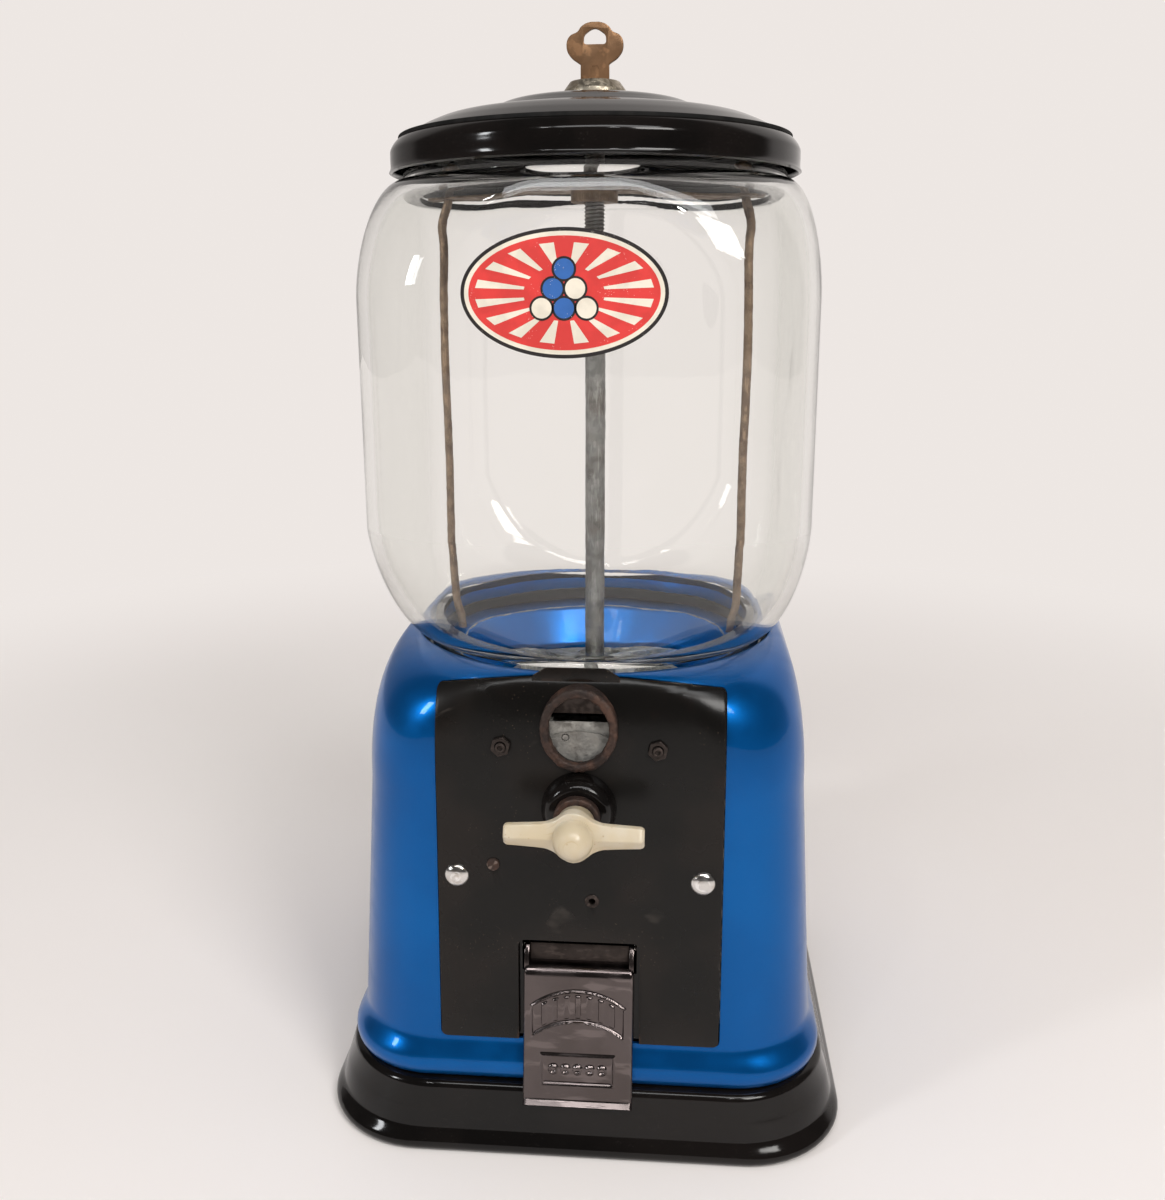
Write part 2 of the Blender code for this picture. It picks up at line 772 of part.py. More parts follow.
def make_rod_and_socket():
    socket_foot = sheet + gap
    bore = rod_radius + gap
    socket_top = socket_foot + rod_socket_height
    socket = [(bore, socket_top), (rod_socket_radius * socket_top_share, socket_top),
              (rod_socket_radius, socket_foot), (0.0, socket_foot), (0.0, rod_foot - gap),
              (bore, rod_foot - gap)]
    turned("rod_socket", socket, "dull_steel", steps=16)
    rod_between("centre_rod", rod_foot, rod_top, rod_radius, 16, Matrix.Identity(4), "dull_steel")


def lip_guard(name, margin):
    """Keeps a cutter off the casing's turned-down lip."""
    radius = mouth_radius + sheet + margin
    sections = [(radius, ledge_top - overrun, 1.0), (radius, casing_top + overrun, 1.0)]
    return loft(name, sections, casing_corner, close_foot=True, close_top=True)


def make_casing():
    lip = [(mouth_radius, casing_top - sheet), (mouth_radius, ledge_top + sheet),
           (mouth_radius - sheet, ledge_top), (ledge_radius, ledge_top)]
    sections = casing_profile() + [(*point, 1.0) for point in lip]
    casing = loft("casing_shell", sections, casing_corner, "blue_paint")
    thicken(casing, sheet)
    opening = front_piece("casing_opening", [plate_outline(panel_gap)], ledge_radius,
                          casing_half + overrun)
    cut(casing, cut(opening, lip_guard("casing_lip_guard", gap)))
    for side, name in ((-1, "mounting_strip_left"), (1, "mounting_strip_right")):
        strip = loft(name, casing_profile(sheet + gap), casing_corner - sheet - gap, "dull_steel")
        thicken(strip, sheet)
        inner, outer = sorted((side * strip_inner, side * strip_outer))
        region = box(name + "_region", (inner, -casing_half, bead_top + strip_rise),
                     (outer, 0.0, bead_top + plate_top_height - strip_drop))
        keep_inside(strip, region)
        cut(strip, forward_rod(name + "_hole", 0.0, casing_half, screw_shank_radius + gap, 12,
                               side * cover_screw_place, cover_screw_height - plate_foot_drop))


def make_front_plate():
    plate = loft("front_plate", casing_profile(), casing_corner, "black_worn")
    thicken(plate, sheet)
    region = front_piece("plate_region", [plate_outline()], ledge_radius, casing_half + overrun)
    keep_inside(plate, cut(region, lip_guard("plate_lip_guard", gap + panel_gap)))
    hole = screw_shank_radius + gap
    low = -plate_foot_drop - overrun
    high = opening_top - axis_height
    mouth = rounded([(opening_half, low), (opening_half, high), (-opening_half, high),
                     (-opening_half, low)], [0.0, opening_corner, opening_corner, 0.0])
    holes = [
        circle(hole, 12, cover_screw_place, cover_screw_height - plate_foot_drop),
        circle(hole, 12, -cover_screw_place, cover_screw_height - plate_foot_drop),
        circle(stud_radius + gap, 12, *stud_place),
        circle(stud_radius + gap, 12, -stud_place[0], stud_place[1]),
        circle(pawl_pivot_radius + gap, 12, *pawl_pivot_place),
        circle(spring_screw_radius + gap, 12, *spring_screw_place),
        circle(boss_tube_radius + gap, 16),
        oval(window_half_width, window_half_height, 24, rise=window_rise),
        mouth,
    ]
    cut(plate, front_piece("plate_holes", holes, ledge_radius, casing_half + overrun))
    crown = plate_top_height - plate_foot_drop
    tab = [(tab_right, crown - tab_root), (tab_right, crown + tab_rise * tab_slope_share),
           (tab_right - tab_rise, crown + tab_rise), (tab_rise - tab_left, crown + tab_rise),
           (-tab_left, crown + tab_rise * tab_slope_share), (-tab_left, crown - tab_root)]
    join(plate, front_piece("plate_tab", [tab], tab_front - thin_sheet, tab_front))


def plate_skin(rise):
    """How far ahead of the machine's middle the plate's skin lies, below its shoulder."""
    share = (axis_height + rise - bead_top) / wall_height
    return wall_foot_half + (wall_top_half - wall_foot_half) * share


def make_cover_screws():
    rise = cover_screw_height - plate_foot_drop
    seat = plate_skin(rise - cover_screw_radius) + gap
    dome = quarter((0.0, cover_screw_rise), (cover_screw_radius, 0.0), 3, True)
    profile = [(0.0, cover_screw_rise), *dome, (screw_shank_radius, 0.0),
               (screw_shank_radius, -screw_shank_length), (0.0, -screw_shank_length)]
    for side, name in ((-1, "cover_screw_left"), (1, "cover_screw_right")):
        place = facing_front(seat, side * cover_screw_place, axis_height + rise)
        turned(name, profile, "polished_metal", place, closed=False, steps=12)


def make_window_rim():
    outer = oval(window_half_width + rim_wall, window_half_height + rim_wall, 24,
                 rise=window_rise)
    inner = oval(window_half_width, window_half_height, 24, rise=window_rise)
    rim = front_piece("coin_window_rim", [outer, inner], tab_front + gap, rim_front,
                      "rusty_steel", rim_edge)
    cut(rim, casing_block("rim_seat", -gap, gap))


def make_handle_group():
    bore = shaft_radius + gap
    here = facing_front(0.0, 0.0, axis_height)
    nose = (boss_nose_radius, boss_front)
    dome = quarter(nose, (boss_radius, boss_front - boss_dome), 4, True)
    flange = [(0.0, boss_front), nose, *dome, (boss_radius, boss_back), (0.0, boss_back)]
    boss = turned("shaft_bushing", flange, "black_gloss", here, closed=False, steps=18)
    cut(boss, casing_block("boss_seat", -gap, gap))
    join(boss, forward_rod("boss_tube", boss_back, boss_front - sheet, boss_tube_radius, 16))
    cut(boss, forward_rod("boss_bore", boss_back - overrun, boss_front + overrun, bore, 12))

    forward_rod("handle_shaft", shaft_back, shaft_front, shaft_radius, 12, finish="dull_steel")
    collar_back = boss_front + gap
    collar = [(bore, collar_back + collar_length),
              (collar_radius - collar_edge, collar_back + collar_length),
              (collar_radius, collar_back + collar_length - collar_edge),
              (collar_radius, collar_back), (bore, collar_back)]
    turned("shaft_collar", collar, "rusty_steel", here, steps=16)

    half_length, half_height = handle_length / 2, handle_hub_height / 2
    edge = [(half_length * x, half_height * y) for x, y in handle_outline_shares]
    edge.append((half_length, edge[-1][1] - handle_edge))
    upper = edge + [(x, -y) for x, y in reversed(edge)]
    outline = upper[:-1] + [(-x, y) for x, y in reversed(upper)][:-1]
    handle = front_piece("handle", [outline], handle_middle - handle_thickness / 2,
                         handle_middle + handle_thickness / 2, "ivory_plastic", handle_edge,
                         handle_tilt)
    neck = forward_rod("handle_neck", handle_back, handle_middle, handle_neck_radius, 16)
    knob_seat = handle_middle + handle_thickness / 4
    knob = [(0.0, handle_front)]
    knob += quarter(knob[0], (handle_dome_radius, knob_seat + handle_edge), 4, True)
    knob += [(handle_dome_radius, knob_seat), (0.0, knob_seat)]
    join(handle, neck, turned("handle_knob", knob, None, here, closed=False, steps=16))
    cut(handle, forward_rod("handle_bore", handle_back - overrun, shaft_front + gap, bore, 12))


def make_coin_mechanism():
    bore = circle(shaft_radius + gap, 12)
    front = hub_plate_front
    rivet_hole = circle(hub_rivet_radius, 10, *hub_rivet_place)
    front_piece("hub_plate", [circle(hub_plate_radius, 24), bore, rivet_hole],
                front - thin_sheet, front, "cast_metal")
    forward_rod("hub_rivet", front - thin_sheet, front + hub_rivet_rise, hub_rivet_radius - gap,
                10, *hub_rivet_place, finish="dull_steel")

    studs = [circle(stud_radius + gap, 12, side * stud_place[0], stud_place[1])
             for side in (-1, 1)]
    corners = [(coin_ledge_half, coin_ledge_rise), (-coin_ledge_half, coin_ledge_rise),
               (-coin_ledge_half, coin_ledge_rise - coin_ledge_depth),
               (coin_ledge_half, coin_ledge_rise - coin_ledge_depth)]
    ledge = rounded(corners, [opening_corner] * 4, 2)
    front_piece("coin_ledge", [ledge, *studs], ledge_front - thin_sheet, ledge_front,
                "cast_metal")

    notch = coin_radius + coin_slack
    middle = coin_wheel_radius - notch
    start = math.pi / 2 - math.asin(notch / coin_wheel_radius)
    rim = circle(coin_wheel_radius, 26, 0.0, 0.0, start, 2 * (math.pi / 2 - start) - math.tau)
    seat = circle(notch, 8, 0.0, middle, math.pi, math.pi)
    front_piece("coin_wheel", [rim + seat, bore], coin_wheel_front - coin_wheel_thickness,
                coin_wheel_front, "cast_metal")

    teeth = []
    for tooth in range(ratchet_teeth):
        turn = pawl_contact + math.tau * tooth / ratchet_teeth
        for radius in (ratchet_radius, ratchet_radius - tooth_depth):
            teeth.append((radius * math.cos(turn), radius * math.sin(turn)))
    front_piece("ratchet_wheel", [teeth, bore], ratchet_front - ratchet_thickness, ratchet_front,
                "dull_steel")

    teeth = []
    corners = ((pinion_root_radius, -tooth_root_half), (pinion_tip_radius, -tooth_tip_half),
               (pinion_tip_radius, tooth_tip_half), (pinion_root_radius, tooth_root_half))
    for tooth in range(pinion_teeth):
        turn = Matrix.Rotation(math.pi / 2 + math.tau * tooth / pinion_teeth, 2)
        teeth += [tuple(turn @ Vector(corner)) for corner in corners]
    front_piece("drive_pinion", [teeth, bore], pinion_front - pinion_thickness, pinion_front,
                "cast_metal")


def make_pawl():
    pivot = Vector(pawl_pivot_place)
    reach = ratchet_radius + gap
    tip = Vector((reach * math.cos(pawl_contact), reach * math.sin(pawl_contact)))
    along = (tip - pivot).normalized()
    away = Vector((-along.y, along.x))
    lean = math.atan2(along.y, along.x)
    ring = circle(pawl_ring_radius, 10, pivot.x, pivot.y, lean + pawl_ring_open,
                  math.tau - 2 * pawl_ring_open)
    nose = [tip, tip + 2 * pawl_arm_half * away - pawl_arm_half * along]
    outline = ring + [tuple(point) for point in nose]
    hole = circle(pawl_pivot_radius + gap, 12, *pivot)
    pawl = front_piece("pawl", [outline, hole], ratchet_front - ratchet_thickness + gap,
                       ratchet_front - gap, "dull_steel")
    peg = pivot + along * pawl_peg_reach + away * pawl_arm_half / 2
    join(pawl, forward_rod("pawl_peg", ratchet_front - ratchet_thickness - 2 * spring_radius,
                           ratchet_front - ratchet_thickness + 2 * gap, pawl_peg_radius, 8,
                           peg.x, peg.y))
    return peg


def make_pawl_spring(peg):
    """An open coil from the spring screw to the pawl's peg, behind the pawl."""
    screw = Vector(spring_screw_place)
    along = (peg - screw).normalized()
    start = screw + along * (spring_screw_radius + spring_wire_radius + gap)
    end = peg - along * (pawl_peg_radius + spring_wire_radius + gap)
    across = Vector((-along.y, along.x))
    middle = ratchet_front - ratchet_thickness - gap - spring_radius - spring_wire_radius
    points = []
    steps = spring_turns * spring_steps
    for step in range(steps + 1):
        turn = math.tau * step / spring_steps
        place = start.lerp(end, step / steps) + across * spring_radius * math.sin(turn)
        points.append((place.x, -middle + spring_radius * math.cos(turn),
                       axis_height + place.y))
    wire("pawl_spring", points, spring_wire_radius, "dull_steel", sides=0)


def make_mechanism_frame():
    bore = circle(shaft_radius + gap, 12)
    holes = [circle(stud_radius + gap, 12, side * stud_place[0], stud_place[1])
             for side in (-1, 1)]
    holes.append(circle(pawl_pivot_radius + gap, 12, *pawl_pivot_place))
    corners = [(bearing_half, bearing_top_rise), (-bearing_half, bearing_top_rise),
               (-bearing_half, -bearing_foot_drop), (bearing_half, -bearing_foot_drop)]
    outline = rounded(corners, [opening_corner] * 4, 2)
    front_piece("bearing_plate", [outline, bore, *holes], bearing_front - sheet, bearing_front,
                "dull_steel")
    nut_back = plate_skin(stud_place[1] - nut_across / 2) + gap
    hexagon = circle(nut_across / math.sqrt(3), 6)
    for side, name in ((-1, "left"), (1, "right")):
        right = side * stud_place[0]
        forward_rod("plate_stud_" + name, stud_back, nut_back + nut_thickness + stud_show,
                    stud_radius, 12, right, stud_place[1], finish="dull_steel")
        nut = [(right + x, stud_place[1] + y) for x, y in hexagon]
        hole = circle(stud_radius + gap, 12, right, stud_place[1])
        front_piece("plate_nut_" + name, [nut, hole], nut_back, nut_back + nut_thickness,
                    "dull_steel")

    head_radius = pawl_pivot_radius * rivet_head_share
    seat = plate_skin(pawl_pivot_place[1] - head_radius) + gap
    dome = quarter((0.0, pawl_pivot_radius), (head_radius, 0.0), 3, True)
    rivet = [(0.0, pawl_pivot_radius), *dome, (pawl_pivot_radius, 0.0),
             (pawl_pivot_radius, stud_back - seat), (0.0, stud_back - seat)]
    place = facing_front(seat, pawl_pivot_place[0], axis_height + pawl_pivot_place[1])
    turned("pawl_pivot_rivet", rivet, "rod_brown", place, closed=False, steps=12)

    head_radius = spring_screw_radius * rivet_head_share
    seat = plate_skin(spring_screw_place[1] - head_radius) + gap
    hollow = spring_screw_radius * rivet_hollow_share
    screw = [(0.0, -screw_shank_radius), (hollow, -screw_shank_radius), (hollow, thin_sheet),
             (head_radius, thin_sheet), (head_radius, 0.0), (spring_screw_radius, 0.0),
             (spring_screw_radius, spring_screw_back - seat), (0.0, spring_screw_back - seat)]
    place = facing_front(seat, spring_screw_place[0], axis_height + spring_screw_place[1])
    turned("spring_screw", screw, "dull_steel", place, closed=False, steps=12)


def ring_of_cutters(name, count, start, make):
    """One cutter of many bodies: make adds a body to the bmesh, then a copy turns it."""
    bm = bmesh.new()
    for number in range(count):
        added = make(bm)
        turn = Matrix.Rotation(start + math.tau * number / count, 3, "Z")
        bmesh.ops.rotate(bm, verts=added, matrix=turn)
    return add_object(name, finish_mesh(bm, name))


def add_pocket(bm):
    low, high = drum_foot - overrun, drum_top + overrun
    made = bmesh.ops.create_cone(bm, cap_ends=True, segments=12, radius1=ball_pocket_radius,
                                 radius2=ball_pocket_radius, depth=high - low)["verts"]
    bmesh.ops.translate(bm, vec=(pocket_circle, 0.0, (low + high) / 2), verts=made)
    return made


def add_slot(bm):
    made = bmesh.ops.create_cube(bm, size=1.0)["verts"]
    bmesh.ops.scale(bm, vec=(slot_outer - slot_inner, 2 * slot_half, overrun), verts=made)
    middle = drum_foot + flange_thickness / 2
    bmesh.ops.translate(bm, vec=((slot_inner + slot_outer) / 2, 0.0, middle), verts=made)
    return made


def make_gumball_wheel():
    front = -math.pi / 2
    bore = bushing_radius + gap
    flange_top = drum_foot + flange_thickness
    profile = [(bore, drum_top + drum_crown), (drum_radius - drum_edge, drum_top),
               (drum_radius, drum_top - drum_edge), (drum_radius, flange_top),
               (flange_radius, flange_top), (flange_radius, drum_foot), (bore, drum_foot)]
    wheel = turned("gumball_wheel", profile, "cast_metal")
    slots = slots_per_tooth * pinion_teeth
    cut(wheel, ring_of_cutters("ball_pockets", ball_pockets, front, add_pocket),
        ring_of_cutters("flange_slots", slots, front, add_slot))
    hole = rod_radius + gap
    bushing_top = drum_foot + bushing_height
    turned("wheel_bushing", [(hole, bushing_top), (bushing_radius, bushing_top),
                             (bushing_radius, drum_foot), (hole, drum_foot)], "dull_steel",
           steps=16)
    seat = bushing_top + gap
    crown = (hole, seat + retainer_height)
    turned("wheel_retainer", [crown, *quarter(crown, (retainer_radius, seat), 2, True),
                              (hole, seat)], "dull_steel", steps=16)


def make_wheel_housing():
    hole = rod_radius + gap
    top = hopper_seat - gap
    floor_foot = wheel_floor_height - housing_floor
    inner = housing_radius - sheet
    profile = [(hole, wheel_floor_height), (inner, wheel_floor_height), (inner, top),
               (housing_radius, top), (housing_radius, floor_foot), (hole, floor_foot)]
    housing = turned("wheel_housing", profile, "cast_metal")
    outlet = rod_between("outlet_hole", floor_foot - overrun, wheel_floor_height + overrun,
                         outlet_radius, 16, Matrix.Translation((0.0, -pocket_circle, 0.0)))
    window = box("pinion_window",
                 (-pinion_window_half, -pinion_front - pinion_window_margin,
                  floor_foot - overrun),
                 (pinion_window_half,
                  pinion_thickness + pinion_window_margin - pinion_front,
                  wheel_floor_height + overrun))
    lug = box("shaft_lug", (-lug_half, -lug_front, axis_height - shaft_radius - gap - lug_wall),
              (lug_half, lug_wall - lug_front, wheel_floor_height - gap))
    cut(housing, outlet, window)
    join(housing, lug)
    cut(housing, forward_rod("lug_bore", lug_front - lug_wall - overrun,
                             lug_front + overrun, shaft_radius + gap, 12))
    nut_top = floor_foot - gap
    nut = rod_between("housing_nut", nut_top - lower_nut_height, nut_top,
                      lower_nut_across / math.sqrt(3), 6, Matrix.Identity(4), "dull_steel")
    cut(nut, rod_between("housing_nut_bore", nut_top - lower_nut_height - overrun,
                         nut_top + overrun, hole, 16, Matrix.Identity(4)))


def make_hopper():
    rim = mouth_radius - sheet - gap
    profile = [(rim, hopper_seat), (hopper_flat_radius, hopper_seat),
               (hopper_neck_radius, hopper_neck_top), (hopper_neck_radius, hopper_neck_foot)]
    turned("hopper", profile, "blue_paint", closed=False, wall=sheet)
    foot = wheel_floor_height + ball_diameter + cut_off_clearance
    share = (foot - hopper_neck_top) / (hopper_seat - hopper_neck_top)
    cone = hopper_neck_radius + (hopper_flat_radius - hopper_neck_radius) * share
    outer = cone - sheet * cut_off_wall_share - 2 * gap
    front = -math.pi / 2
    arc = circle(outer, 10, 0.0, 0.0, front - cut_off_angle, 2 * cut_off_angle)
    inner = circle(cut_off_inner, 6, 0.0, 0.0, front + cut_off_angle, -2 * cut_off_angle)
    place = Matrix.Translation((0.0, 0.0, foot + thin_sheet / 2))
    flat_piece("cut_off_plate", [arc + inner], thin_sheet, place, "polished_metal")


def plate_plane(depth):
    """A plane along the front wall, depth behind its skin, with its Y up from the foot."""
    lean = math.atan2(wall_foot_half - wall_top_half, wall_height)
    tilt = Matrix.Rotation(math.radians(90) - lean, 4, "X")
    inward = Matrix.Translation((0.0, 0.0, -depth))
    return Matrix.Translation((0.0, -wall_foot_half, bead_top)) @ tilt @ inward


def make_chute():
    depth = sheet + gap + thin_sheet / 2
    plane = plate_plane(depth)
    mouth_top, mouth_foot = chute_mouth_top - bead_top, chute_mouth_foot - bead_top
    upper = plane @ Vector((0.0, mouth_top, 0.0))
    lower = plane @ Vector((0.0, mouth_foot, 0.0))
    duct_top = wheel_floor_height - housing_floor - gap
    rings = ((chute_mouth_half, upper, lower),
             (duct_half, Vector((0.0, -duct_front, axis_height - duct_front_drop)),
              Vector((0.0, -duct_back, axis_height - duct_back_drop))),
             (duct_half, Vector((0.0, -duct_front, duct_top)),
              Vector((0.0, -duct_back, duct_top))))
    bm = bmesh.new()
    loops = []
    for half, ahead, behind in rings:
        corners = ((half, ahead), (half, behind), (-half, behind), (-half, ahead))
        loops.append([bm.verts.new((x, end.y, end.z)) for x, end in corners])
    for first, second in zip(loops, loops[1:]):
        for corner in range(4):
            follow = (corner + 1) % 4
            bm.faces.new((first[corner], first[follow], second[follow], second[corner]))
    mesh = bpy.data.meshes.new("chute")
    bm.to_mesh(mesh)
    bm.free()
    chute = thicken(add_object("chute", mesh, "dull_steel"), thin_sheet)

    step = chute_mouth_top - bead_top
    inner = chute_mouth_half - thin_sheet
    top = opening_top + frame_rise - bead_top
    clear = opening_top + panel_gap - bead_top
    outline = [(frame_half, gap), (frame_half, top), (-frame_half, top), (-frame_half, gap)]
    hole = [(inner, mouth_foot + thin_sheet), (inner, step), (lug_inner_half, step),
            (lug_inner_half, clear)]
    hole += [(-x, y) for x, y in reversed(hole)]
    join(chute, flat_piece("chute_frame", [outline, hole], thin_sheet, plane))
    back, height = flap_pivot_place
    low, high = height - hinge_lug_foot, height + hinge_lug_top
    corners = [(back - hinge_lug_front, low), (back + hinge_lug_back, low),
               (back + hinge_lug_back, high), (back - hinge_lug_front, high)]
    pin_hole = circle(pin_radius + gap, 12, back, height)
    for side, name in ((-1, "left_lug"), (1, "right_lug")):
        middle = side * (lug_inner_half + thin_sheet / 2)
        join(chute, flat_piece(name, [corners, pin_hole], thin_sheet, facing_right(middle)))


def make_flap():
    back, height = flap_pivot_place
    bend, toe = Vector(flap_bend), Vector(flap_toe)
    down = (toe - bend).normalized()
    inward = Vector((-down.y, down.x))
    skin = [Vector(flap_strip_back), bend, toe, Vector(flap_lip)]
    under = []
    for index, point in enumerate(skin):
        before = (point - skin[max(index - 1, 0)]).normalized()
        after = (skin[min(index + 1, len(skin) - 1)] - point).normalized()
        along = (before + after).normalized()
        lean = along.dot(after if after.length else before)
        under.append(point + Vector((-along.y, along.x)) * thin_sheet / lean)
    radii = [0.0, bend_radius + thin_sheet, 0.0, 0.0, 0.0, 0.0, bend_radius, 0.0]
    outline = rounded([tuple(point) for point in skin + list(reversed(under))], radii, 3)
    flap = flat_piece("flap", [outline], 2 * flap_half, facing_right(0.0, back, height),
                      "flap_metal")
    skin_inset = inward * thin_sheet / 2
    neck = bend + down * flap_ear_drop + inward * flap_side
    ear = [bend + skin_inset + down * thin_sheet, toe + skin_inset, toe + inward * flap_side,
           neck]
    ear = [tuple(point) for point in ear]
    ear += circle(ear_radius, 5, 0.0, 0.0, -ear_start, ear_start + math.pi / 2)
    pin_hole = circle(pin_radius + gap, 12)
    for side, name in ((-1, "left_ear"), (1, "right_ear")):
        middle = side * (flap_half - thin_sheet / 2)
        join(flap, flat_piece(name, [ear, pin_hole], thin_sheet,
                              facing_right(middle, back, height)))
    turn = Matrix.Translation((0.0, back, height)) @ Matrix.Rotation(math.radians(90), 4, "Y")
    end = lug_inner_half + thin_sheet - gap
    rod_between("flap_pin", -end, end, pin_radius, 12, turn, "polished_metal")


def make_globe():
    foot = (globe_foot_radius, globe_foot)
    neck = (globe_foot_radius, globe_foot + globe_foot_straight)
    wall_foot, wall_end = (globe_half, globe_wall_foot), (globe_half, globe_wall_top)
    shoulder = (globe_neck_radius, globe_wall_top + globe_shoulder_height)
    sections = [(*foot, 1.0), (*neck, 1.0)]
    steps = 4
    base = quarter(neck, wall_foot, steps, True, globe_fullness_share)
    for step, point in enumerate(base, start=1):
        sections.append((*point, (1 - step / steps) ** 1.4))
    sections.append((*wall_end, 0.0))
    for step, point in enumerate(quarter(wall_end, shoulder, steps, False), start=1):
        sections.append((*point, (step / steps) ** 1.5))
    sections.append((globe_neck_radius, globe_top, 1.0))
    thicken(loft("globe", sections, globe_corner, "glass"), glass_wall)

    foot, top = gasket_foot, gasket_foot + gasket_thickness
    inner, outer = ledge_radius + gap, mouth_radius - 2 * gap
    stand = inner + gasket_wall
    turned("lower_gasket", [(inner, top + gasket_upstand), (stand, top + gasket_upstand),
                            (stand, top), (outer, top), (outer, foot), (inner, foot)], "rubber")
    foot, top = globe_top + gap, globe_top + gap + gasket_thickness
    inner, outer = upper_gasket_inner, upper_gasket_outer
    turned("upper_gasket", [(inner, top), (outer, top), (outer, foot), (inner, foot)], "rubber")


def make_crossbar():
    hole = rod_radius + gap
    half, wide, narrow = crossbar_half, crossbar_half_width, crossbar_end_half_width
    shoulder = half * crossbar_shoulder_share
    corners = [(half, -narrow), (half, narrow), (shoulder, wide), (-shoulder, wide),
               (-half, narrow), (-half, -narrow), (-shoulder, -wide), (shoulder, -wide)]
    outline = rounded(corners, [narrow / 2] * 2 + [wide] * 2 + [narrow / 2] * 2 + [wide] * 2, 2)
    side_hole = side_rod_radius + gap
    holes = [circle(hole, 16), circle(side_hole, 10, side_rod_place),
             circle(side_hole, 10, -side_rod_place)]
    place = Matrix.Translation((0.0, 0.0, crossbar_height + crossbar_thickness / 2))
    bar = flat_piece("crossbar", [outline, *holes], crossbar_thickness, place, "rod_brown")
    hub = rod_between("crossbar_hub", crossbar_height - crossbar_hub_drop,
                      crossbar_height + crossbar_thickness / 2, crossbar_hub_radius, 16,
                      Matrix.Identity(4))
    bore = rod_between("crossbar_bore", crossbar_height - crossbar_hub_drop - overrun,
                       crossbar_height + overrun, hole, 16, Matrix.Identity(4))
    cut(join(bar, hub), bore)
    seat = crossbar_height + crossbar_thickness + gap
    nut = rod_between("crossbar_nut", seat, seat + crossbar_nut_height,
                      crossbar_nut_across / math.sqrt(3), 6, Matrix.Identity(4), "rusty_steel")
    cut(nut, rod_between("crossbar_nut_bore", seat - overrun,
                         seat + crossbar_nut_height + overrun, hole, 16, Matrix.Identity(4)))
    foot = hopper_seat + sheet + gap
    length = seat + side_rod_hook - foot
    for side, name in ((-1, "side_rod_left"), (1, "side_rod_right")):
        points = []
        for height, sway in side_rod_sway_shares:
            right = side * side_rod_place + sway * side_rod_radius
            points.append((right, 0.0, foot + length * height))
        hook = points[-1]
        points.append((hook[0] - side * side_rod_hook / 2, 0.0, hook[2] + side_rod_hook / 3))
        points.append((hook[0] - side * side_rod_hook, 0.0, hook[2]))
        wire(name, points, side_rod_radius, "rod_brown", sides=1)


def make_lid():
    profile = [(lid_hole_radius, lid_top)]
    profile += [(lid_radius * r, lid_rim_height + lid_rise * h) for r, h in lid_shares]
    turned("lid", profile, "black_gloss", closed=False, wall=sheet)

    bore = plug_radius + gap
    barrel_foot = lock_seat - lock_barrel_length
    rod_end = rod_top + gap
    edge = lock_head_radius - collar_edge
    flange_top = lock_seat + lock_flange_height
    profile = [(bore, lock_top), (edge, lock_top), (lock_head_radius, lock_top - collar_edge),
               (lock_head_radius, flange_top), (lock_flange_radius, flange_top),
               (lock_flange_radius, lock_seat), (lock_barrel_radius, lock_seat),
               (lock_barrel_radius, barrel_foot), (rod_radius + gap, barrel_foot),
               (rod_radius + gap, rod_end), (0.0, rod_end), (0.0, rod_end + lock_web),
               (bore, rod_end + lock_web)]
    turned("lock_body", profile, "lock_nickel", steps=16)
    top = lid_top - sheet - gap
    nut = rod_between("lock_nut", top - lock_nut_height, top, lock_nut_across / math.sqrt(3), 6,
                      Matrix.Identity(4), "dull_steel")
    cut(nut, rod_between("lock_nut_bore", top - lock_nut_height - overrun, top + overrun,
                         lock_barrel_radius + gap, 16, Matrix.Identity(4)))
    plug_top = lock_top + plug_rise
    plug = rod_between("lock_plug", rod_end + lock_web + gap, plug_top, plug_radius, 16,
                       Matrix.Identity(4), "lock_nickel")
    slot_foot = plug_top - key_slot_depth
    slot_wall = key_thickness / 2 + gap
    cut(plug, box("key_slot", (-key_blade_half - gap, -slot_wall, slot_foot),
                  (key_blade_half + gap, slot_wall, plug_top + overrun)))
    make_key(slot_foot + gap, plug_top + gap)


def make_key(tip, seat):
    bow_foot = seat + key_neck_height
    right = [(key_blade_half - thin_sheet, tip), (key_blade_half, tip + thin_sheet),
             (key_blade_half, seat), (key_neck_half, seat)]
    right += [(key_bow_half * x, bow_foot + key_bow_height * y) for x, y in key_bow_shares]
    outline = right + [(-x, y) for x, y in reversed(right)]
    hole = oval(key_hole_half_width, key_hole_half_height, 16,
                rise=bow_foot + key_bow_height * key_hole_share)
    flat_piece("key", [outline, hole], key_thickness, facing_front(), "key_brass")


def hang(name, place, *nodes):
    """An empty on a joint's axis, which carries the pieces that move about it."""
    pivot = bpy.data.objects.new(name, None)
    pivot.location = place
    parts.objects.link(pivot)
    for node in nodes:
        piece = bpy.data.objects[node]
        piece.parent = pivot
        piece.matrix_parent_inverse = Matrix.Translation(place).inverted()
    return pivot


make_tray()
make_rod_and_socket()
make_casing()
make_front_plate()
make_cover_screws()
make_window_rim()
make_handle_group()
make_coin_mechanism()
make_pawl_spring(make_pawl())
make_mechanism_frame()
make_gumball_wheel()
make_wheel_housing()
make_hopper()
make_chute()
make_flap()
make_globe()
make_crossbar()
make_lid()

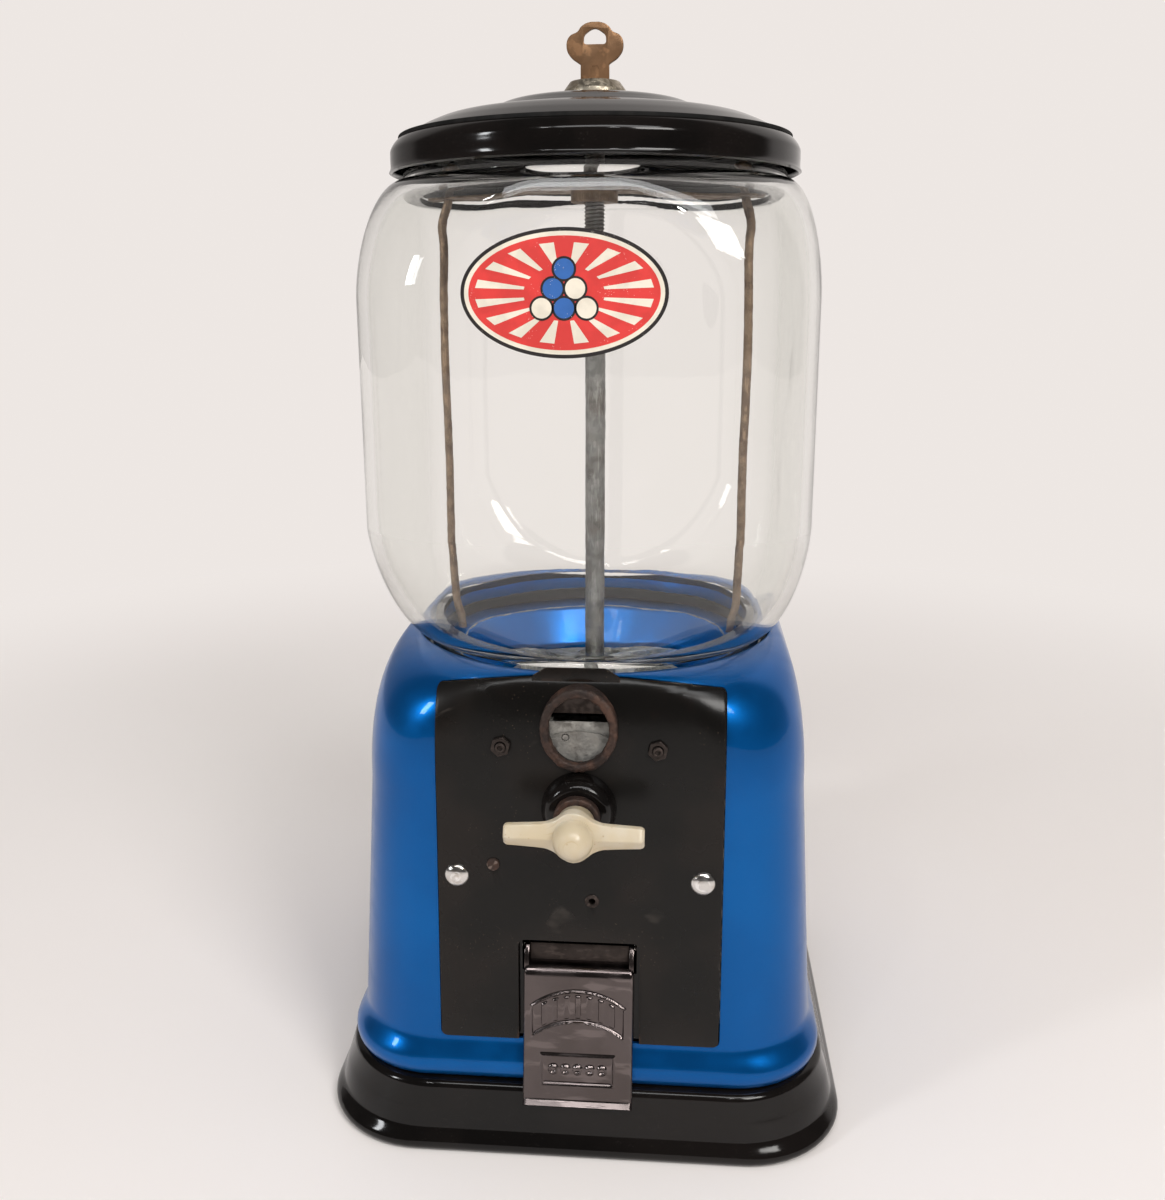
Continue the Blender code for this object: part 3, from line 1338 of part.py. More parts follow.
hang("handle_axis", (0.0, -boss_front, axis_height), "handle", "handle_shaft", "shaft_collar",
     "hub_plate", "hub_rivet", "coin_wheel", "ratchet_wheel", "drive_pinion")
hang("pawl_axis", (pawl_pivot_place[0], -ratchet_front, axis_height + pawl_pivot_place[1]),
     "pawl")
hang("wheel_axis", (0.0, 0.0, drum_foot), "gumball_wheel")
hang("flap_axis", (0.0, *flap_pivot_place), "flap")
lid_pivot = hang("lid_axis", (0.0, 0.0, lid_rim_height), "lid", "lock_body", "lock_nut",
                 "upper_gasket")
key_pivot = hang("key_axis", (0.0, 0.0, lock_top), "lock_plug", "key")
key_pivot.parent = lid_pivot
key_pivot.matrix_parent_inverse = Matrix.Translation((0.0, 0.0, lid_rim_height)).inverted()
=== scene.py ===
# %% [markdown]
# # Dressing a gumball machine
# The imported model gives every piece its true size, its place and the body that it moves with.
# This lesson lays a fine surface over it. Sheets, turnings, rods and glass are modelled again
# with more steps, and every finish is built from shader nodes.

# %% Load the frame
import math

import bmesh
import bpy
from mathutils import Matrix, Quaternion, Vector, noise


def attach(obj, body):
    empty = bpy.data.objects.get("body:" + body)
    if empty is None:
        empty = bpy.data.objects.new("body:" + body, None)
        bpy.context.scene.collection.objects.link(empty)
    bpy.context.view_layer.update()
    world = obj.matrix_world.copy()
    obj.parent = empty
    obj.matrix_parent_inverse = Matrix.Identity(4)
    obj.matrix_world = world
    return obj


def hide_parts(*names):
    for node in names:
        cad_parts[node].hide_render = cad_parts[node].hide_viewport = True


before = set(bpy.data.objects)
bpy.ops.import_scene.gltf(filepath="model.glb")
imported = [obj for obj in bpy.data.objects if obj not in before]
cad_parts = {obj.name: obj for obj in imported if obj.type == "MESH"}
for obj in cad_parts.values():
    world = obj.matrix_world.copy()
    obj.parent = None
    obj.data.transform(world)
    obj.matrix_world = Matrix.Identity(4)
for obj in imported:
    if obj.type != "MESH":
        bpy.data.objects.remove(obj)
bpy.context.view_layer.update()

scene = bpy.context.scene
looks = bpy.data.collections.new("gumball_machine_looks")
scene.collection.children.link(looks)

# %% [markdown]
# ## Camera
# The photograph was taken from a little above the lid, to the right of the middle. A camera
# could be aimed by hand, but here its place, its direction and its roll were worked out from
# the machine's edges, so they are written as they are. The lens comes from the focal length
# in pixels.

# %% Camera
IMAGE_HEIGHT = 1200
FOCAL_PIXELS = 1150
ROLL = math.radians(-0.159)
camera_data = bpy.data.cameras.new("studio_camera")
camera_data.sensor_width = 36
camera_data.lens = camera_data.sensor_width * FOCAL_PIXELS / IMAGE_HEIGHT
camera_data.shift_y = -0.0286
camera = bpy.data.objects.new("studio_camera", camera_data)
scene.collection.objects.link(camera)
camera.location = (0.0314, -0.4550, 0.3089)
looking = Vector((-0.0779, 0.9695, -0.2325))
camera.rotation_mode = "QUATERNION"
camera.rotation_quaternion = looking.to_track_quat("-Z", "Y") @ Quaternion((0, 0, 1), ROLL)
scene.camera = camera
scene.view_settings.view_transform = "Standard"
print("lens", round(camera_data.lens, 2), "view:", scene.view_settings.view_transform)

# %% [markdown]
# ## Shader groups
# Real surfaces are never even: enamel has a grain, old steel has spots and scratches, and
# edges are rubbed bare, and on metal the lighter rims also serve as a painted highlight. Each
# of these effects is one node group that gives out a mask, so that a dozen finishes can share
# it with their own values.


# %% Helpers that place and join nodes
def plug(socket, value):
    """Feed a socket from another one, or set it to a plain value."""
    if hasattr(value, "node"):
        socket.id_data.links.new(value, socket)
    else:
        socket.default_value = value


def placed(tree, kind, **sources):
    """A new node whose named inputs are fed or set."""
    node = tree.nodes.new("ShaderNode" + kind)
    for label, value in sources.items():
        plug(node.inputs[label.replace("_", " ")], value)
    return node


def span(tree, value, low, high):
    """Stretch a value so that low becomes 0 and high becomes 1."""
    fit = placed(tree, "MapRange", Value=value, From_Min=low, From_Max=high)
    fit.interpolation_type = "SMOOTHSTEP"
    return fit.outputs["Result"]


def combine(tree, operation, *values):
    """Arithmetic on two values or more, taken one after another."""
    total = values[0]
    for value in values[1:]:
        step = tree.nodes.new("ShaderNodeMath")
        step.operation = operation
        plug(step.inputs[0], total)
        plug(step.inputs[1], value)
        total = step.outputs[0]
    return total


def blend(tree, share, first, second, kind="RGBA"):
    """A value between two others: colours (RGBA) or numbers (FLOAT), plain or from sockets."""
    mix = tree.nodes.new("ShaderNodeMix")
    mix.data_type = kind
    low, high, result = (6, 7, 2) if kind == "RGBA" else (2, 3, 0)
    for index, value in ((0, share), (low, first), (high, second)):
        plug(mix.inputs[index], value)
    return mix.outputs[result]


# %% Helpers that start a group and make a soft noise
def new_group(name, inputs):
    """A group with number inputs (name, value) and a mask; also gives a point's own place."""
    tree = bpy.data.node_groups.new(name, "ShaderNodeTree")
    for label, value in inputs:
        socket = tree.interface.new_socket(label, in_out="INPUT", socket_type="NodeSocketFloat")
        socket.default_value = value
    tree.interface.new_socket("Mask", in_out="OUTPUT", socket_type="NodeSocketFloat")
    given, out = tree.nodes.new("NodeGroupInput"), tree.nodes.new("NodeGroupOutput")
    return tree, given.outputs, out.inputs["Mask"], placed(tree, "TexCoord").outputs["Object"]


def cloud(tree, place, scale, detail):
    return placed(tree, "TexNoise", Vector=place, Scale=scale, Detail=detail).outputs["Fac"]


# %% Mottling: soft uneven patches
tree, given, mask, place = new_group("mottle", [("Scale", 40.0), ("Low", 0.4), ("High", 0.6)])
plug(mask, span(tree, cloud(tree, place, given["Scale"], 6.0), given["Low"], given["High"]))

# %% Specks: small round pits or dots, in clusters
CLUSTER_EDGE = 0.06
tree, given, mask, place = new_group("specks", [("Scale", 400.0), ("Size", 0.25),
                                                ("Cluster Scale", 30.0), ("Cluster Low", 0.5)])
cells = placed(tree, "TexVoronoi", Vector=place, Scale=given["Scale"])
dots = combine(tree, "LESS_THAN", cells.outputs["Distance"], given["Size"])
low = given["Cluster Low"]
where = span(tree, cloud(tree, place, given["Cluster Scale"], 3.0), low,
             combine(tree, "ADD", low, CLUSTER_EDGE))
plug(mask, combine(tree, "MULTIPLY", dots, where))

# %% Scratches: thin streaks that run three ways
STREAK = (1.0, 26.0, 1.0)
tree, given, mask, place = new_group("scratches", [("Scale", 60.0), ("Low", 0.60),
                                                   ("High", 0.68)])
streaks = []
for turn in ((0.3, 0.2, 0.5), (0.9, -0.4, 2.1), (-0.5, 0.8, 1.2)):
    drawn = placed(tree, "Mapping", Vector=place, Rotation=turn, Scale=STREAK)
    streaks.append(span(tree, cloud(tree, drawn.outputs["Vector"], given["Scale"], 3.0),
                        given["Low"], given["High"]))
plug(mask, combine(tree, "MAXIMUM", *streaks))

# %% Rubbed edges: sharp rims show, broken up by a fine noise; worn rims, and on metals also a painted highlight
tree, given, mask, place = new_group("edge_wear_and_glint", [("Low", 0.52), ("High", 0.60),
                                                      ("Breakup Scale", 300.0)])
shape = placed(tree, "NewGeometry").outputs["Pointiness"]
broken = span(tree, cloud(tree, place, given["Breakup Scale"], 4.0), 0.38, 0.58)
plug(mask, combine(tree, "MULTIPLY", span(tree, shape, given["Low"], given["High"]), broken))
print("groups:", [group.name for group in bpy.data.node_groups])

# %% [markdown]
# ## Finishes
# A finish starts as one Principled shader. Each fault or stain is then laid over its colour
# or its roughness where a mask is white, and a Bump node gives the small relief.

# %% Helpers that build a finish
finishes = {}


def new_finish(name, colour, roughness, metallic=0.0, **more):
    """A material with one Principled shader, whose even values sit on its sockets."""
    made = bpy.data.materials.new(name)
    made.use_nodes = True
    shader = made.node_tree.nodes["Principled BSDF"]
    even = {"Base Color": (*colour, 1.0), "Roughness": roughness, "Metallic": metallic, **more}
    for label, value in even.items():
        shader.inputs[label.replace("_", " ")].default_value = value
    made.diffuse_color = (*colour, 1.0)
    finishes[name] = made
    return made


def mask_of(finish, source, values):
    """The mask of a group that is placed with its own values; a socket stays as it is."""
    if not isinstance(source, str):
        return source
    node = finish.node_tree.nodes.new("ShaderNodeGroup")
    node.node_tree = bpy.data.node_groups[source]
    for label, value in values.items():
        node.inputs[label.replace("_", " ")].default_value = value
    return node.outputs["Mask"]


# %% Helpers that lay a colour, a roughness or a relief over a finish
def lay_over(finish, label, value, source, amount=1.0, **values):
    """Mix a colour or a number over what a shader's socket has, where a mask is white."""
    tree = finish.node_tree
    socket = tree.nodes["Principled BSDF"].inputs[label]
    under = socket.links[0].from_socket if socket.is_linked else socket.default_value
    mask = mask_of(finish, source, values)
    if amount != 1.0:
        mask = combine(tree, "MULTIPLY", mask, amount)
    if isinstance(value, tuple):
        plug(socket, blend(tree, mask, under, (*value, 1.0)))
    else:
        plug(socket, blend(tree, mask, under, value, "FLOAT"))


def relief(finish, source, height, strength=1.0, **values):
    """Raise the surface by a height in metres where a mask is white."""
    normal = finish.node_tree.nodes["Principled BSDF"].inputs["Normal"]
    bump = placed(finish.node_tree, "Bump", Distance=abs(height), Strength=strength,
                  Height=mask_of(finish, source, values))
    bump.invert = height < 0
    if normal.is_linked:
        plug(bump.inputs["Normal"], normal.links[0].from_socket)
    plug(normal, bump.outputs["Normal"])


# %% [markdown]
# ### Painted sheet
# The casing wears a deep metallic blue: a metal-like base coat full of flakes under a hard
# clear coat. The tray and the lid are glossy black, and the front plate is an older black
# that has gone brown at its rims.

# %% Blue enamel
FINE = 0.00003
blue = new_finish("blue_enamel", (0.0008, 0.108, 0.375), 0.34, 0.74, Coat_Weight=0.45,
                  Coat_Roughness=0.03, Coat_IOR=1.36, Specular_IOR_Level=0.05)
lay_over(blue, "Base Color", (0.001, 0.075, 0.28), "mottle", 0.5, Scale=14.0)
lay_over(blue, "Base Color", (0.004, 0.22, 0.62), "specks", 0.10, Scale=4200.0, Size=0.34,
         Cluster_Low=0.2)
lay_over(blue, "Roughness", 0.26, "mottle", 0.8, Scale=90.0)
relief(blue, "mottle", FINE, 0.2, Scale=60.0, Low=0.1, High=0.9)

# %% Black enamel
black = new_finish("black_enamel", (0.0035, 0.0030, 0.0028), 0.10, Specular_IOR_Level=0.30)
lay_over(black, "Base Color", (0.012, 0.009, 0.008), "mottle", 0.4, Scale=26.0)
lay_over(black, "Roughness", 0.20, "mottle", 0.6, Scale=60.0, Low=0.45, High=0.7)
lay_over(black, "Base Color", (0.10, 0.09, 0.08), "specks", 0.4, Scale=900.0, Size=0.10,
         Cluster_Scale=60.0)
relief(black, "mottle", FINE, 0.25, Scale=160.0, Low=0.1, High=0.9)

# %% Worn black of the front plate
worn = new_finish("worn_black", (0.005, 0.0045, 0.004), 0.20, Specular_IOR_Level=0.24)
lay_over(worn, "Base Color", (0.014, 0.010, 0.008), "mottle", 0.6, Scale=22.0)
lay_over(worn, "Base Color", (0.020, 0.008, 0.006), "mottle", 0.25, Scale=34.0, Low=0.56,
         High=0.72)
lay_over(worn, "Roughness", 0.34, "mottle", Scale=30.0, Low=0.38, High=0.66)
lay_over(worn, "Base Color", (0.12, 0.085, 0.060), "specks", 0.6, Scale=700.0, Size=0.10,
         Cluster_Scale=40.0, Cluster_Low=0.54)
lay_over(worn, "Base Color", (0.045, 0.038, 0.033), "scratches", 0.5, Scale=36.0, Low=0.70,
         High=0.76)
lay_over(worn, "Base Color", (0.16, 0.085, 0.055), "edge_wear_and_glint", Low=0.53, High=0.60)
lay_over(worn, "Roughness", 0.60, "edge_wear_and_glint", Low=0.53, High=0.60)
relief(worn, "mottle", FINE, 0.35, Scale=260.0, Low=0.35, High=0.7)

# %% [markdown]
# ### Bare metals
# Polished screw heads, the dull flap, grey steel rods, browned rods, rust on the window's
# rim, tarnished nickel on the lock and dark brass on the key. They differ in colour, in how
# wide their highlights spread, and in what has settled on them.


# %% A helper for a metal and the metals themselves
def scaled(colour, times):
    """A lighter or a darker tone of a colour."""
    return tuple(min(1.0, times * value) for value in colour)


def metal(name, colour, roughness, stain, stain_scale, stain_share, scratch, metallic=1.0):
    """A metal with a soft stain, uneven polish, fine scratches, and lighter rims that are partly
    rubbed bare and partly a painted highlight.
    """
    made = new_finish(name, colour, roughness, metallic)
    lay_over(made, "Base Color", stain, "mottle", stain_share, Scale=stain_scale, Low=0.45,
             High=0.65)
    lay_over(made, "Roughness", min(roughness * 1.8, 0.9), "mottle", Scale=stain_scale * 2.3)
    lay_over(made, "Base Color", scaled(colour, 1.7), "scratches", 0.6, Scale=scratch)
    # Lighter sharp rims: partly rubbed bare metal, partly a painted highlight.
    lay_over(made, "Base Color", scaled(colour, 2.0), "edge_wear_and_glint", 0.8, Low=0.54, High=0.64)
    relief(made, "scratches", -0.00002, 0.5, Scale=scratch)
    return made


metal("polished_steel", (0.66, 0.64, 0.62), 0.12, (0.42, 0.36, 0.30), 260.0, 0.5, 150.0)
metal("flap_plating", (0.122, 0.103, 0.101), 0.15, (0.092, 0.076, 0.072), 38.0, 0.6, 45.0)
metal("dull_steel", (0.20, 0.195, 0.185), 0.42, (0.10, 0.085, 0.070), 110.0, 0.7, 120.0)
metal("browned_steel", (0.21, 0.145, 0.095), 0.44, (0.10, 0.060, 0.036), 130.0, 0.7, 140.0, 0.85)
metal("sooty_steel", (0.046, 0.036, 0.032), 0.34, (0.022, 0.017, 0.015), 150.0, 0.7, 160.0, 0.8)
metal("aged_nickel", (0.44, 0.39, 0.31), 0.34, (0.24, 0.19, 0.13), 210.0, 0.7, 160.0)
metal("dark_brass", (0.235, 0.130, 0.066), 0.38, (0.15, 0.084, 0.045), 60.0, 0.5, 160.0, 0.75)
cast = metal("cast_alloy", (0.34, 0.33, 0.31), 0.52, (0.20, 0.185, 0.165), 90.0, 0.7, 110.0, 0.9)
relief(cast, "mottle", 0.00008, 0.6, Scale=900.0)

rust = new_finish("rusty_steel", (0.050, 0.028, 0.021), 0.62, 0.35)
lay_over(rust, "Base Color", (0.105, 0.052, 0.034), "mottle", 0.7, Scale=240.0)
lay_over(rust, "Base Color", (0.020, 0.014, 0.012), "mottle", 0.8, Scale=110.0)
lay_over(rust, "Base Color", (0.26, 0.20, 0.17), "edge_wear_and_glint", 0.6)
lay_over(rust, "Roughness", 0.38, "edge_wear_and_glint")
relief(rust, "mottle", 0.00018, 0.9, Scale=800.0, Low=0.3, High=0.7)

# %% [markdown]
# ### Plastic, rubber and glass
# The handle is an aged ivory plastic, yellow in its hollows. The gaskets are dusty rubber.
# Glass looks deeper at its edges, where a line of sight runs along the wall, so its colour
# depends on the angle. A Transparent shader for shadow rays lets the lamps in to the rods.

# %% Ivory and rubber
ivory = new_finish("aged_ivory", (0.57, 0.48, 0.33), 0.30, Subsurface_Weight=0.12,
                   Subsurface_Radius=(0.004, 0.003, 0.002), Coat_Weight=0.25)
lay_over(ivory, "Base Color", (0.61, 0.545, 0.43), "mottle", 0.8, Scale=70.0)
lay_over(ivory, "Base Color", (0.38, 0.24, 0.11), "specks", 0.45, Scale=520.0, Size=0.16,
         Cluster_Scale=90.0, Cluster_Low=0.54)
lay_over(ivory, "Base Color", (0.46, 0.33, 0.17), "scratches", 0.45, Scale=60.0, Low=0.66,
         High=0.74)
lay_over(ivory, "Roughness", 0.45, "mottle", 0.7, Scale=160.0)
relief(ivory, "mottle", 0.00004, 0.4, Scale=300.0, Low=0.3, High=0.7)

rubber = new_finish("dusty_rubber", (0.008, 0.008, 0.008), 0.72, Specular_IOR_Level=0.15)
lay_over(rubber, "Base Color", (0.020, 0.019, 0.018), "mottle", 0.5, Scale=150.0)
lay_over(rubber, "Roughness", 0.9, "mottle", Scale=60.0)
relief(rubber, "mottle", 0.00005, 0.5, Scale=900.0)


# %% Glass
def mix_shaders(material, share, other):
    """Show another shader in place of the Principled one where the share is 1."""
    nodes = material.node_tree.nodes
    mix = nodes.new("ShaderNodeMixShader")
    for index, source in enumerate((share, nodes["Principled BSDF"].outputs[0],
                                    other.outputs[0])):
        plug(mix.inputs[index], source)
    plug(nodes["Material Output"].inputs["Surface"], mix.outputs[0])


glass = new_finish("clear_glass", (0.997, 0.996, 0.990), 0.0, Transmission_Weight=1.0, IOR=1.46)
lay_over(glass, "Base Color", (0.975, 0.978, 0.965), "mottle", 0.5, Scale=18.0)
lay_over(glass, "Roughness", 0.035, "mottle", 0.6, Scale=35.0, Low=0.56, High=0.72)
relief(glass, "mottle", 0.0002, 0.15, Scale=26.0, Low=0.2, High=0.8)
rim = placed(glass.node_tree, "LayerWeight", Blend=0.25)
lay_over(glass, "Base Color", (0.60, 0.62, 0.57), rim.outputs["Facing"], 0.85)
mix_shaders(glass, placed(glass.node_tree, "LightPath").outputs["Is Shadow Ray"],
            placed(glass.node_tree, "BsdfTransparent", Color=(0.93, 0.95, 0.94, 1.0)))


# %% Printed colours of the label
def printed(name, colour):
    """Ink on paper: a slightly uneven colour with a few worn dots."""
    made = new_finish(name, colour, 0.42, Coat_Weight=0.3)
    lay_over(made, "Base Color", scaled(colour, 0.78), "mottle", 0.6, Scale=120.0)
    lay_over(made, "Base Color", (0.80, 0.76, 0.68), "specks", 0.7, Scale=1500.0, Size=0.16,
             Cluster_Scale=160.0, Cluster_Low=0.56)


printed("label_red", (0.70, 0.045, 0.04))
printed("label_black", (0.018, 0.014, 0.014))
printed("label_cream", (0.80, 0.74, 0.62))
printed("label_blue", (0.03, 0.13, 0.42))
print("finishes:", len(finishes))

# %% [markdown]
# ## Studio
# The machine stands on a pale table before a pale wall. An even white room would be easier,
# but polished metal and black enamel need something dark to mirror, so reflections see the
# pale wall behind the machine and a dim room ahead of it. The world's own light is weak.
# Three soft lamps do the rest, and two small bulbs put bright marks on the enamel.

# %% Table and world
TABLE_SIZE = 8.0
WALL_COLOUR = (0.85, 0.80, 0.77, 1.0)
AMBIENT, DIM, LEFT_OF_WALL = 0.50, 0.10, 0.4


def rays_that_see(tree, *kinds):
    """A mask that is 1 for the named kinds of ray."""
    path = placed(tree, "LightPath")
    return combine(tree, "MAXIMUM", *(path.outputs[f"Is {kind} Ray"] for kind in kinds))


def make_table():
    bm = bmesh.new()
    bmesh.ops.create_grid(bm, x_segments=2, y_segments=2, size=TABLE_SIZE / 2)
    mesh = bpy.data.meshes.new("table")
    bm.to_mesh(mesh)
    bm.free()
    table = bpy.data.objects.new("table", mesh)
    scene.collection.objects.link(table)
    top = new_finish("table_top", (0.95, 0.905, 0.88), 0.6)
    lay_over(top, "Base Color", (0.96, 0.92, 0.90), "mottle", 0.6, Scale=3.0)
    # Far from the machine the table turns into the colour of the wall.
    tree = top.node_tree
    far = tree.nodes.new("ShaderNodeVectorMath")
    far.operation = "LENGTH"
    plug(far.inputs[0], placed(tree, "TexCoord").outputs["Object"])
    far = combine(tree, "MULTIPLY", span(tree, far.outputs["Value"], 0.25, 0.9),
                  rays_that_see(tree, "Camera", "Glossy", "Transmission"))
    mix_shaders(top, far, placed(tree, "Emission", Color=WALL_COLOUR))
    mesh.materials.append(top)


def make_world():
    world = bpy.data.worlds.new("pale_room")
    scene.world = world
    world.use_nodes = True
    tree = world.node_tree
    toward = placed(tree, "SeparateXYZ", Vector=placed(tree, "TexCoord").outputs["Generated"])
    # The wall is lit more at the right than at the left.
    wall = blend(tree, span(tree, toward.outputs["X"], -0.9, 0.3),
                 scaled(WALL_COLOUR, LEFT_OF_WALL), WALL_COLOUR)
    room = blend(tree, span(tree, toward.outputs["Y"], 0.28, 0.46),
                 scaled(WALL_COLOUR, DIM), wall)
    shade = blend(tree, rays_that_see(tree, "Glossy"),
                  scaled(WALL_COLOUR, AMBIENT), room)
    shade = blend(tree, rays_that_see(tree, "Camera", "Transmission"), shade, WALL_COLOUR)
    plug(tree.nodes["Background"].inputs["Color"], shade)


make_table()
make_world()

# %% Lamps
MIDDLE = Vector((0.0, 0.0, 0.2))
LAMPS = [("key_lamp", (0.85, -1.15, 1.15), (0.55, 0.45), 11.0, (1.0, 0.98, 0.95)),
         ("fill_lamp", (-1.25, -0.85, 0.75), (0.16, 0.34), 4.5, (0.96, 0.98, 1.0)),
         ("top_lamp", (0.2, -0.95, 1.40), (1.2, 0.30), 7.5, (1.0, 1.0, 1.0)),
         ("left_bulb", (-0.55, -1.15, 1.45), (0.11, 0.06), 1.1, (1.0, 1.0, 1.0)),
         ("right_bulb", (0.35, -1.35, 1.30), (0.10, 0.05), 1.0, (1.0, 1.0, 1.0))]
for name, place, size, power, colour in LAMPS:
    data = bpy.data.lights.new(name, "AREA")
    data.shape = "RECTANGLE"
    data.size, data.size_y = size
    data.energy, data.color = power, colour
    lamp = bpy.data.objects.new(name, data)
    lamp.location = place
    lamp.rotation_mode = "QUATERNION"
    lamp.rotation_quaternion = (MIDDLE - Vector(place)).to_track_quat("-Z", "Y")
    scene.collection.objects.link(lamp)
print("lamps:", len(bpy.data.lights))

# %% [markdown]
# ## Tools for the shapes
# Everything below is drawn in millimetres and scaled at the end. A line of points becomes a
# turned piece by spin, a flat outline becomes a plate by extrude, and a ring becomes a shell
# when it is extruded level by level.

# %% Lines
MM = 0.001
TOUCH = 0.0005


def filleted(corners, closed=False, steps=6):
    """A line through (across, up, radius) corners, each eased by its radius."""
    line = []
    for index, (x, y, radius) in enumerate(corners):
        here = Vector((x, y))
        if not radius or (not closed and index in (0, len(corners) - 1)):
            line.append((x, y))
            continue
        before = Vector(corners[index - 1][:2]) - here
        after = Vector(corners[(index + 1) % len(corners)][:2]) - here
        reach = min(radius / math.tan(before.angle(after) / 2), before.length * 0.49,
                    after.length * 0.49)
        first, last = here + before.normalized() * reach, here + after.normalized() * reach
        for step in range(steps + 1):
            share = step / steps
            line.append(tuple(first.lerp(here, share).lerp(here.lerp(last, share), share)))
    return line


def flowing(points, steps=8):
    """A smooth line that passes through every point."""
    points = [Vector(point) for point in points]
    points = [2 * points[0] - points[1], *points, 2 * points[-1] - points[-2]]
    line = []
    for a, b, c, d in zip(points, points[1:], points[2:], points[3:]):
        for step in range(steps):
            t = step / steps
            line.append(tuple(b + ((c - a) * t + (2 * a - 5 * b + 4 * c - d) * t ** 2
                                   + (3 * b - a - 3 * c + d) * t ** 3) / 2))
    return [*line, tuple(points[-2])]


def quarter(start, end, steps, level_first, power=1.0):
    """A quarter round between two points, without its first point."""
    points = []
    for step in range(1, steps + 1):
        turn = math.pi / 2 * step / steps
        ahead, behind = math.sin(turn) ** power, 1 - max(math.cos(turn), 0.0) ** power
        across, up = (ahead, behind) if level_first else (behind, ahead)
        points.append((start[0] + (end[0] - start[0]) * across,
                       start[1] + (end[1] - start[1]) * up))
    return points


def eased(start, end, steps):
    """An S curve between two points, upright at both ends."""
    points = []
    for step in range(1, steps + 1):
        across = (1 - math.cos(math.pi * step / steps)) / 2
        points.append((start[0] + (end[0] - start[0]) * across,
                       start[1] + (end[1] - start[1]) * step / steps))
    return points


# %% Outlines
def oval(half_width, half_height, steps, right=0.0, rise=0.0, start=0.0):
    """Points of an oval."""
    turns = [start + math.tau * step / steps for step in range(steps)]
    return [(right + half_width * math.cos(a), rise + half_height * math.sin(a)) for a in turns]


def circle(radius, steps, right=0.0, rise=0.0, start=0.0):
    return oval(radius, radius, steps, right, rise, start)


def oblong(half, low, high):
    return [(-half, low), (half, low), (half, high), (-half, high)]


# %% Turned shapes
def spun(profile, steps=96, closed=False):
    """A turned shape from radius and height pairs."""
    bm = bmesh.new()
    points = [bm.verts.new((radius, 0.0, height)) for radius, height in profile]
    line = [bm.edges.new(pair) for pair in zip(points, points[1:])]
    if closed:
        line.append(bm.edges.new((points[-1], points[0])))
    bmesh.ops.spin(bm, geom=points + line, cent=(0, 0, 0), axis=(0, 0, 1), angle=math.tau,
                   steps=steps, use_merge=True)
    bmesh.ops.remove_doubles(bm, verts=bm.verts, dist=TOUCH)
    return bm


# %% Bevelled edges and plates
def soften(bm, width, segments=3, angle=40):
    """Bevel the edges at which the surface turns sharply."""
    bmesh.ops.recalc_face_normals(bm, faces=bm.faces)
    sharp = [edge for edge in bm.edges
             if len(edge.link_faces) == 2 and edge.calc_face_angle() > math.radians(angle)]
    bmesh.ops.bevel(bm, geom=sharp, offset=width, offset_type="OFFSET", segments=segments,
                    profile=0.5, affect="EDGES", material=-1, clamp_overlap=True)
    return bm


def flat(outlines, place, dissolve=True):
    """A flat face inside an outline, less its holes; place turns (x, y) into a point."""
    bm = bmesh.new()
    for outline in outlines:
        points = [bm.verts.new(place(x, y)) for x, y in outline]
        for pair in zip(points, points[1:] + points[:1]):
            bm.edges.new(pair)
    bmesh.ops.triangle_fill(bm, use_beauty=True, use_dissolve=dissolve, edges=bm.edges)
    return bm


def slab(outlines, thickness, edge=0.0, segments=3):
    """A plate from an outline and its holes, centred on its own plane, with eased rims."""
    bm = flat(outlines, lambda x, y: (x, y, -thickness / 2))
    bmesh.ops.recalc_face_normals(bm, faces=bm.faces)
    made = bmesh.ops.extrude_face_region(bm, geom=list(bm.faces), use_keep_orig=True)["geom"]
    top = [item for item in made if isinstance(item, bmesh.types.BMVert)]
    bmesh.ops.translate(bm, vec=(0, 0, thickness), verts=top)
    return soften(bm, edge, segments) if edge else bm


# %% Shells and rods from a ring
def next_ring(bm, edges):
    """Extrude a ring of edges and give the new ring's points and edges."""
    made = bmesh.ops.extrude_edge_only(bm, edges=edges)["geom"]
    ring = [item for item in made if isinstance(item, bmesh.types.BMVert)]
    fresh = set(ring)
    return ring, [item for item in made if isinstance(item, bmesh.types.BMEdge)
                  and fresh.issuperset(item.verts)]


def lofted(rings, foot=False, top=False):
    """A shell through rings of points: one ring, extruded and fitted to each in turn."""
    bm = bmesh.new()
    number = bm.verts.layers.int.new("number")
    ring = bmesh.ops.create_circle(bm, cap_ends=foot, segments=len(rings[0]), radius=1.0)["verts"]
    for index, vert in enumerate(ring):
        vert[number] = index
    edges = list(bm.edges)
    for level, points in enumerate(rings):
        if level:
            ring, edges = next_ring(bm, edges)
        for vert in ring:
            vert.co = points[vert[number]]
    bm.verts.layers.int.remove(number)
    if top:
        bmesh.ops.edgeloop_fill(bm, edges=edges)
    return bm


def tube(path, radius, sides=20):
    """A round rod along a path: one ring, extruded and turned from point to point."""
    bm = bmesh.new()
    path = [Vector(point) for point in path]
    ring = bmesh.ops.create_circle(bm, cap_ends=True, segments=sides, radius=radius)["verts"]
    heading = (path[1] - path[0]).normalized()
    bmesh.ops.rotate(bm, verts=ring, cent=(0, 0, 0),
                     matrix=Vector((0, 0, 1)).rotation_difference(heading).to_matrix())
    bmesh.ops.translate(bm, verts=ring, vec=path[0])
    edges = list(bm.edges)
    for before, here, after in zip(path, path[1:], path[2:] + path[-1:]):
        ring, edges = next_ring(bm, edges)
        bmesh.ops.translate(bm, verts=ring, vec=here - before)
        ahead = (after - before).normalized()
        bmesh.ops.rotate(bm, verts=ring, cent=here,
                         matrix=heading.rotation_difference(ahead).to_matrix())
        heading = ahead
    bmesh.ops.edgeloop_fill(bm, edges=edges)
    return bm


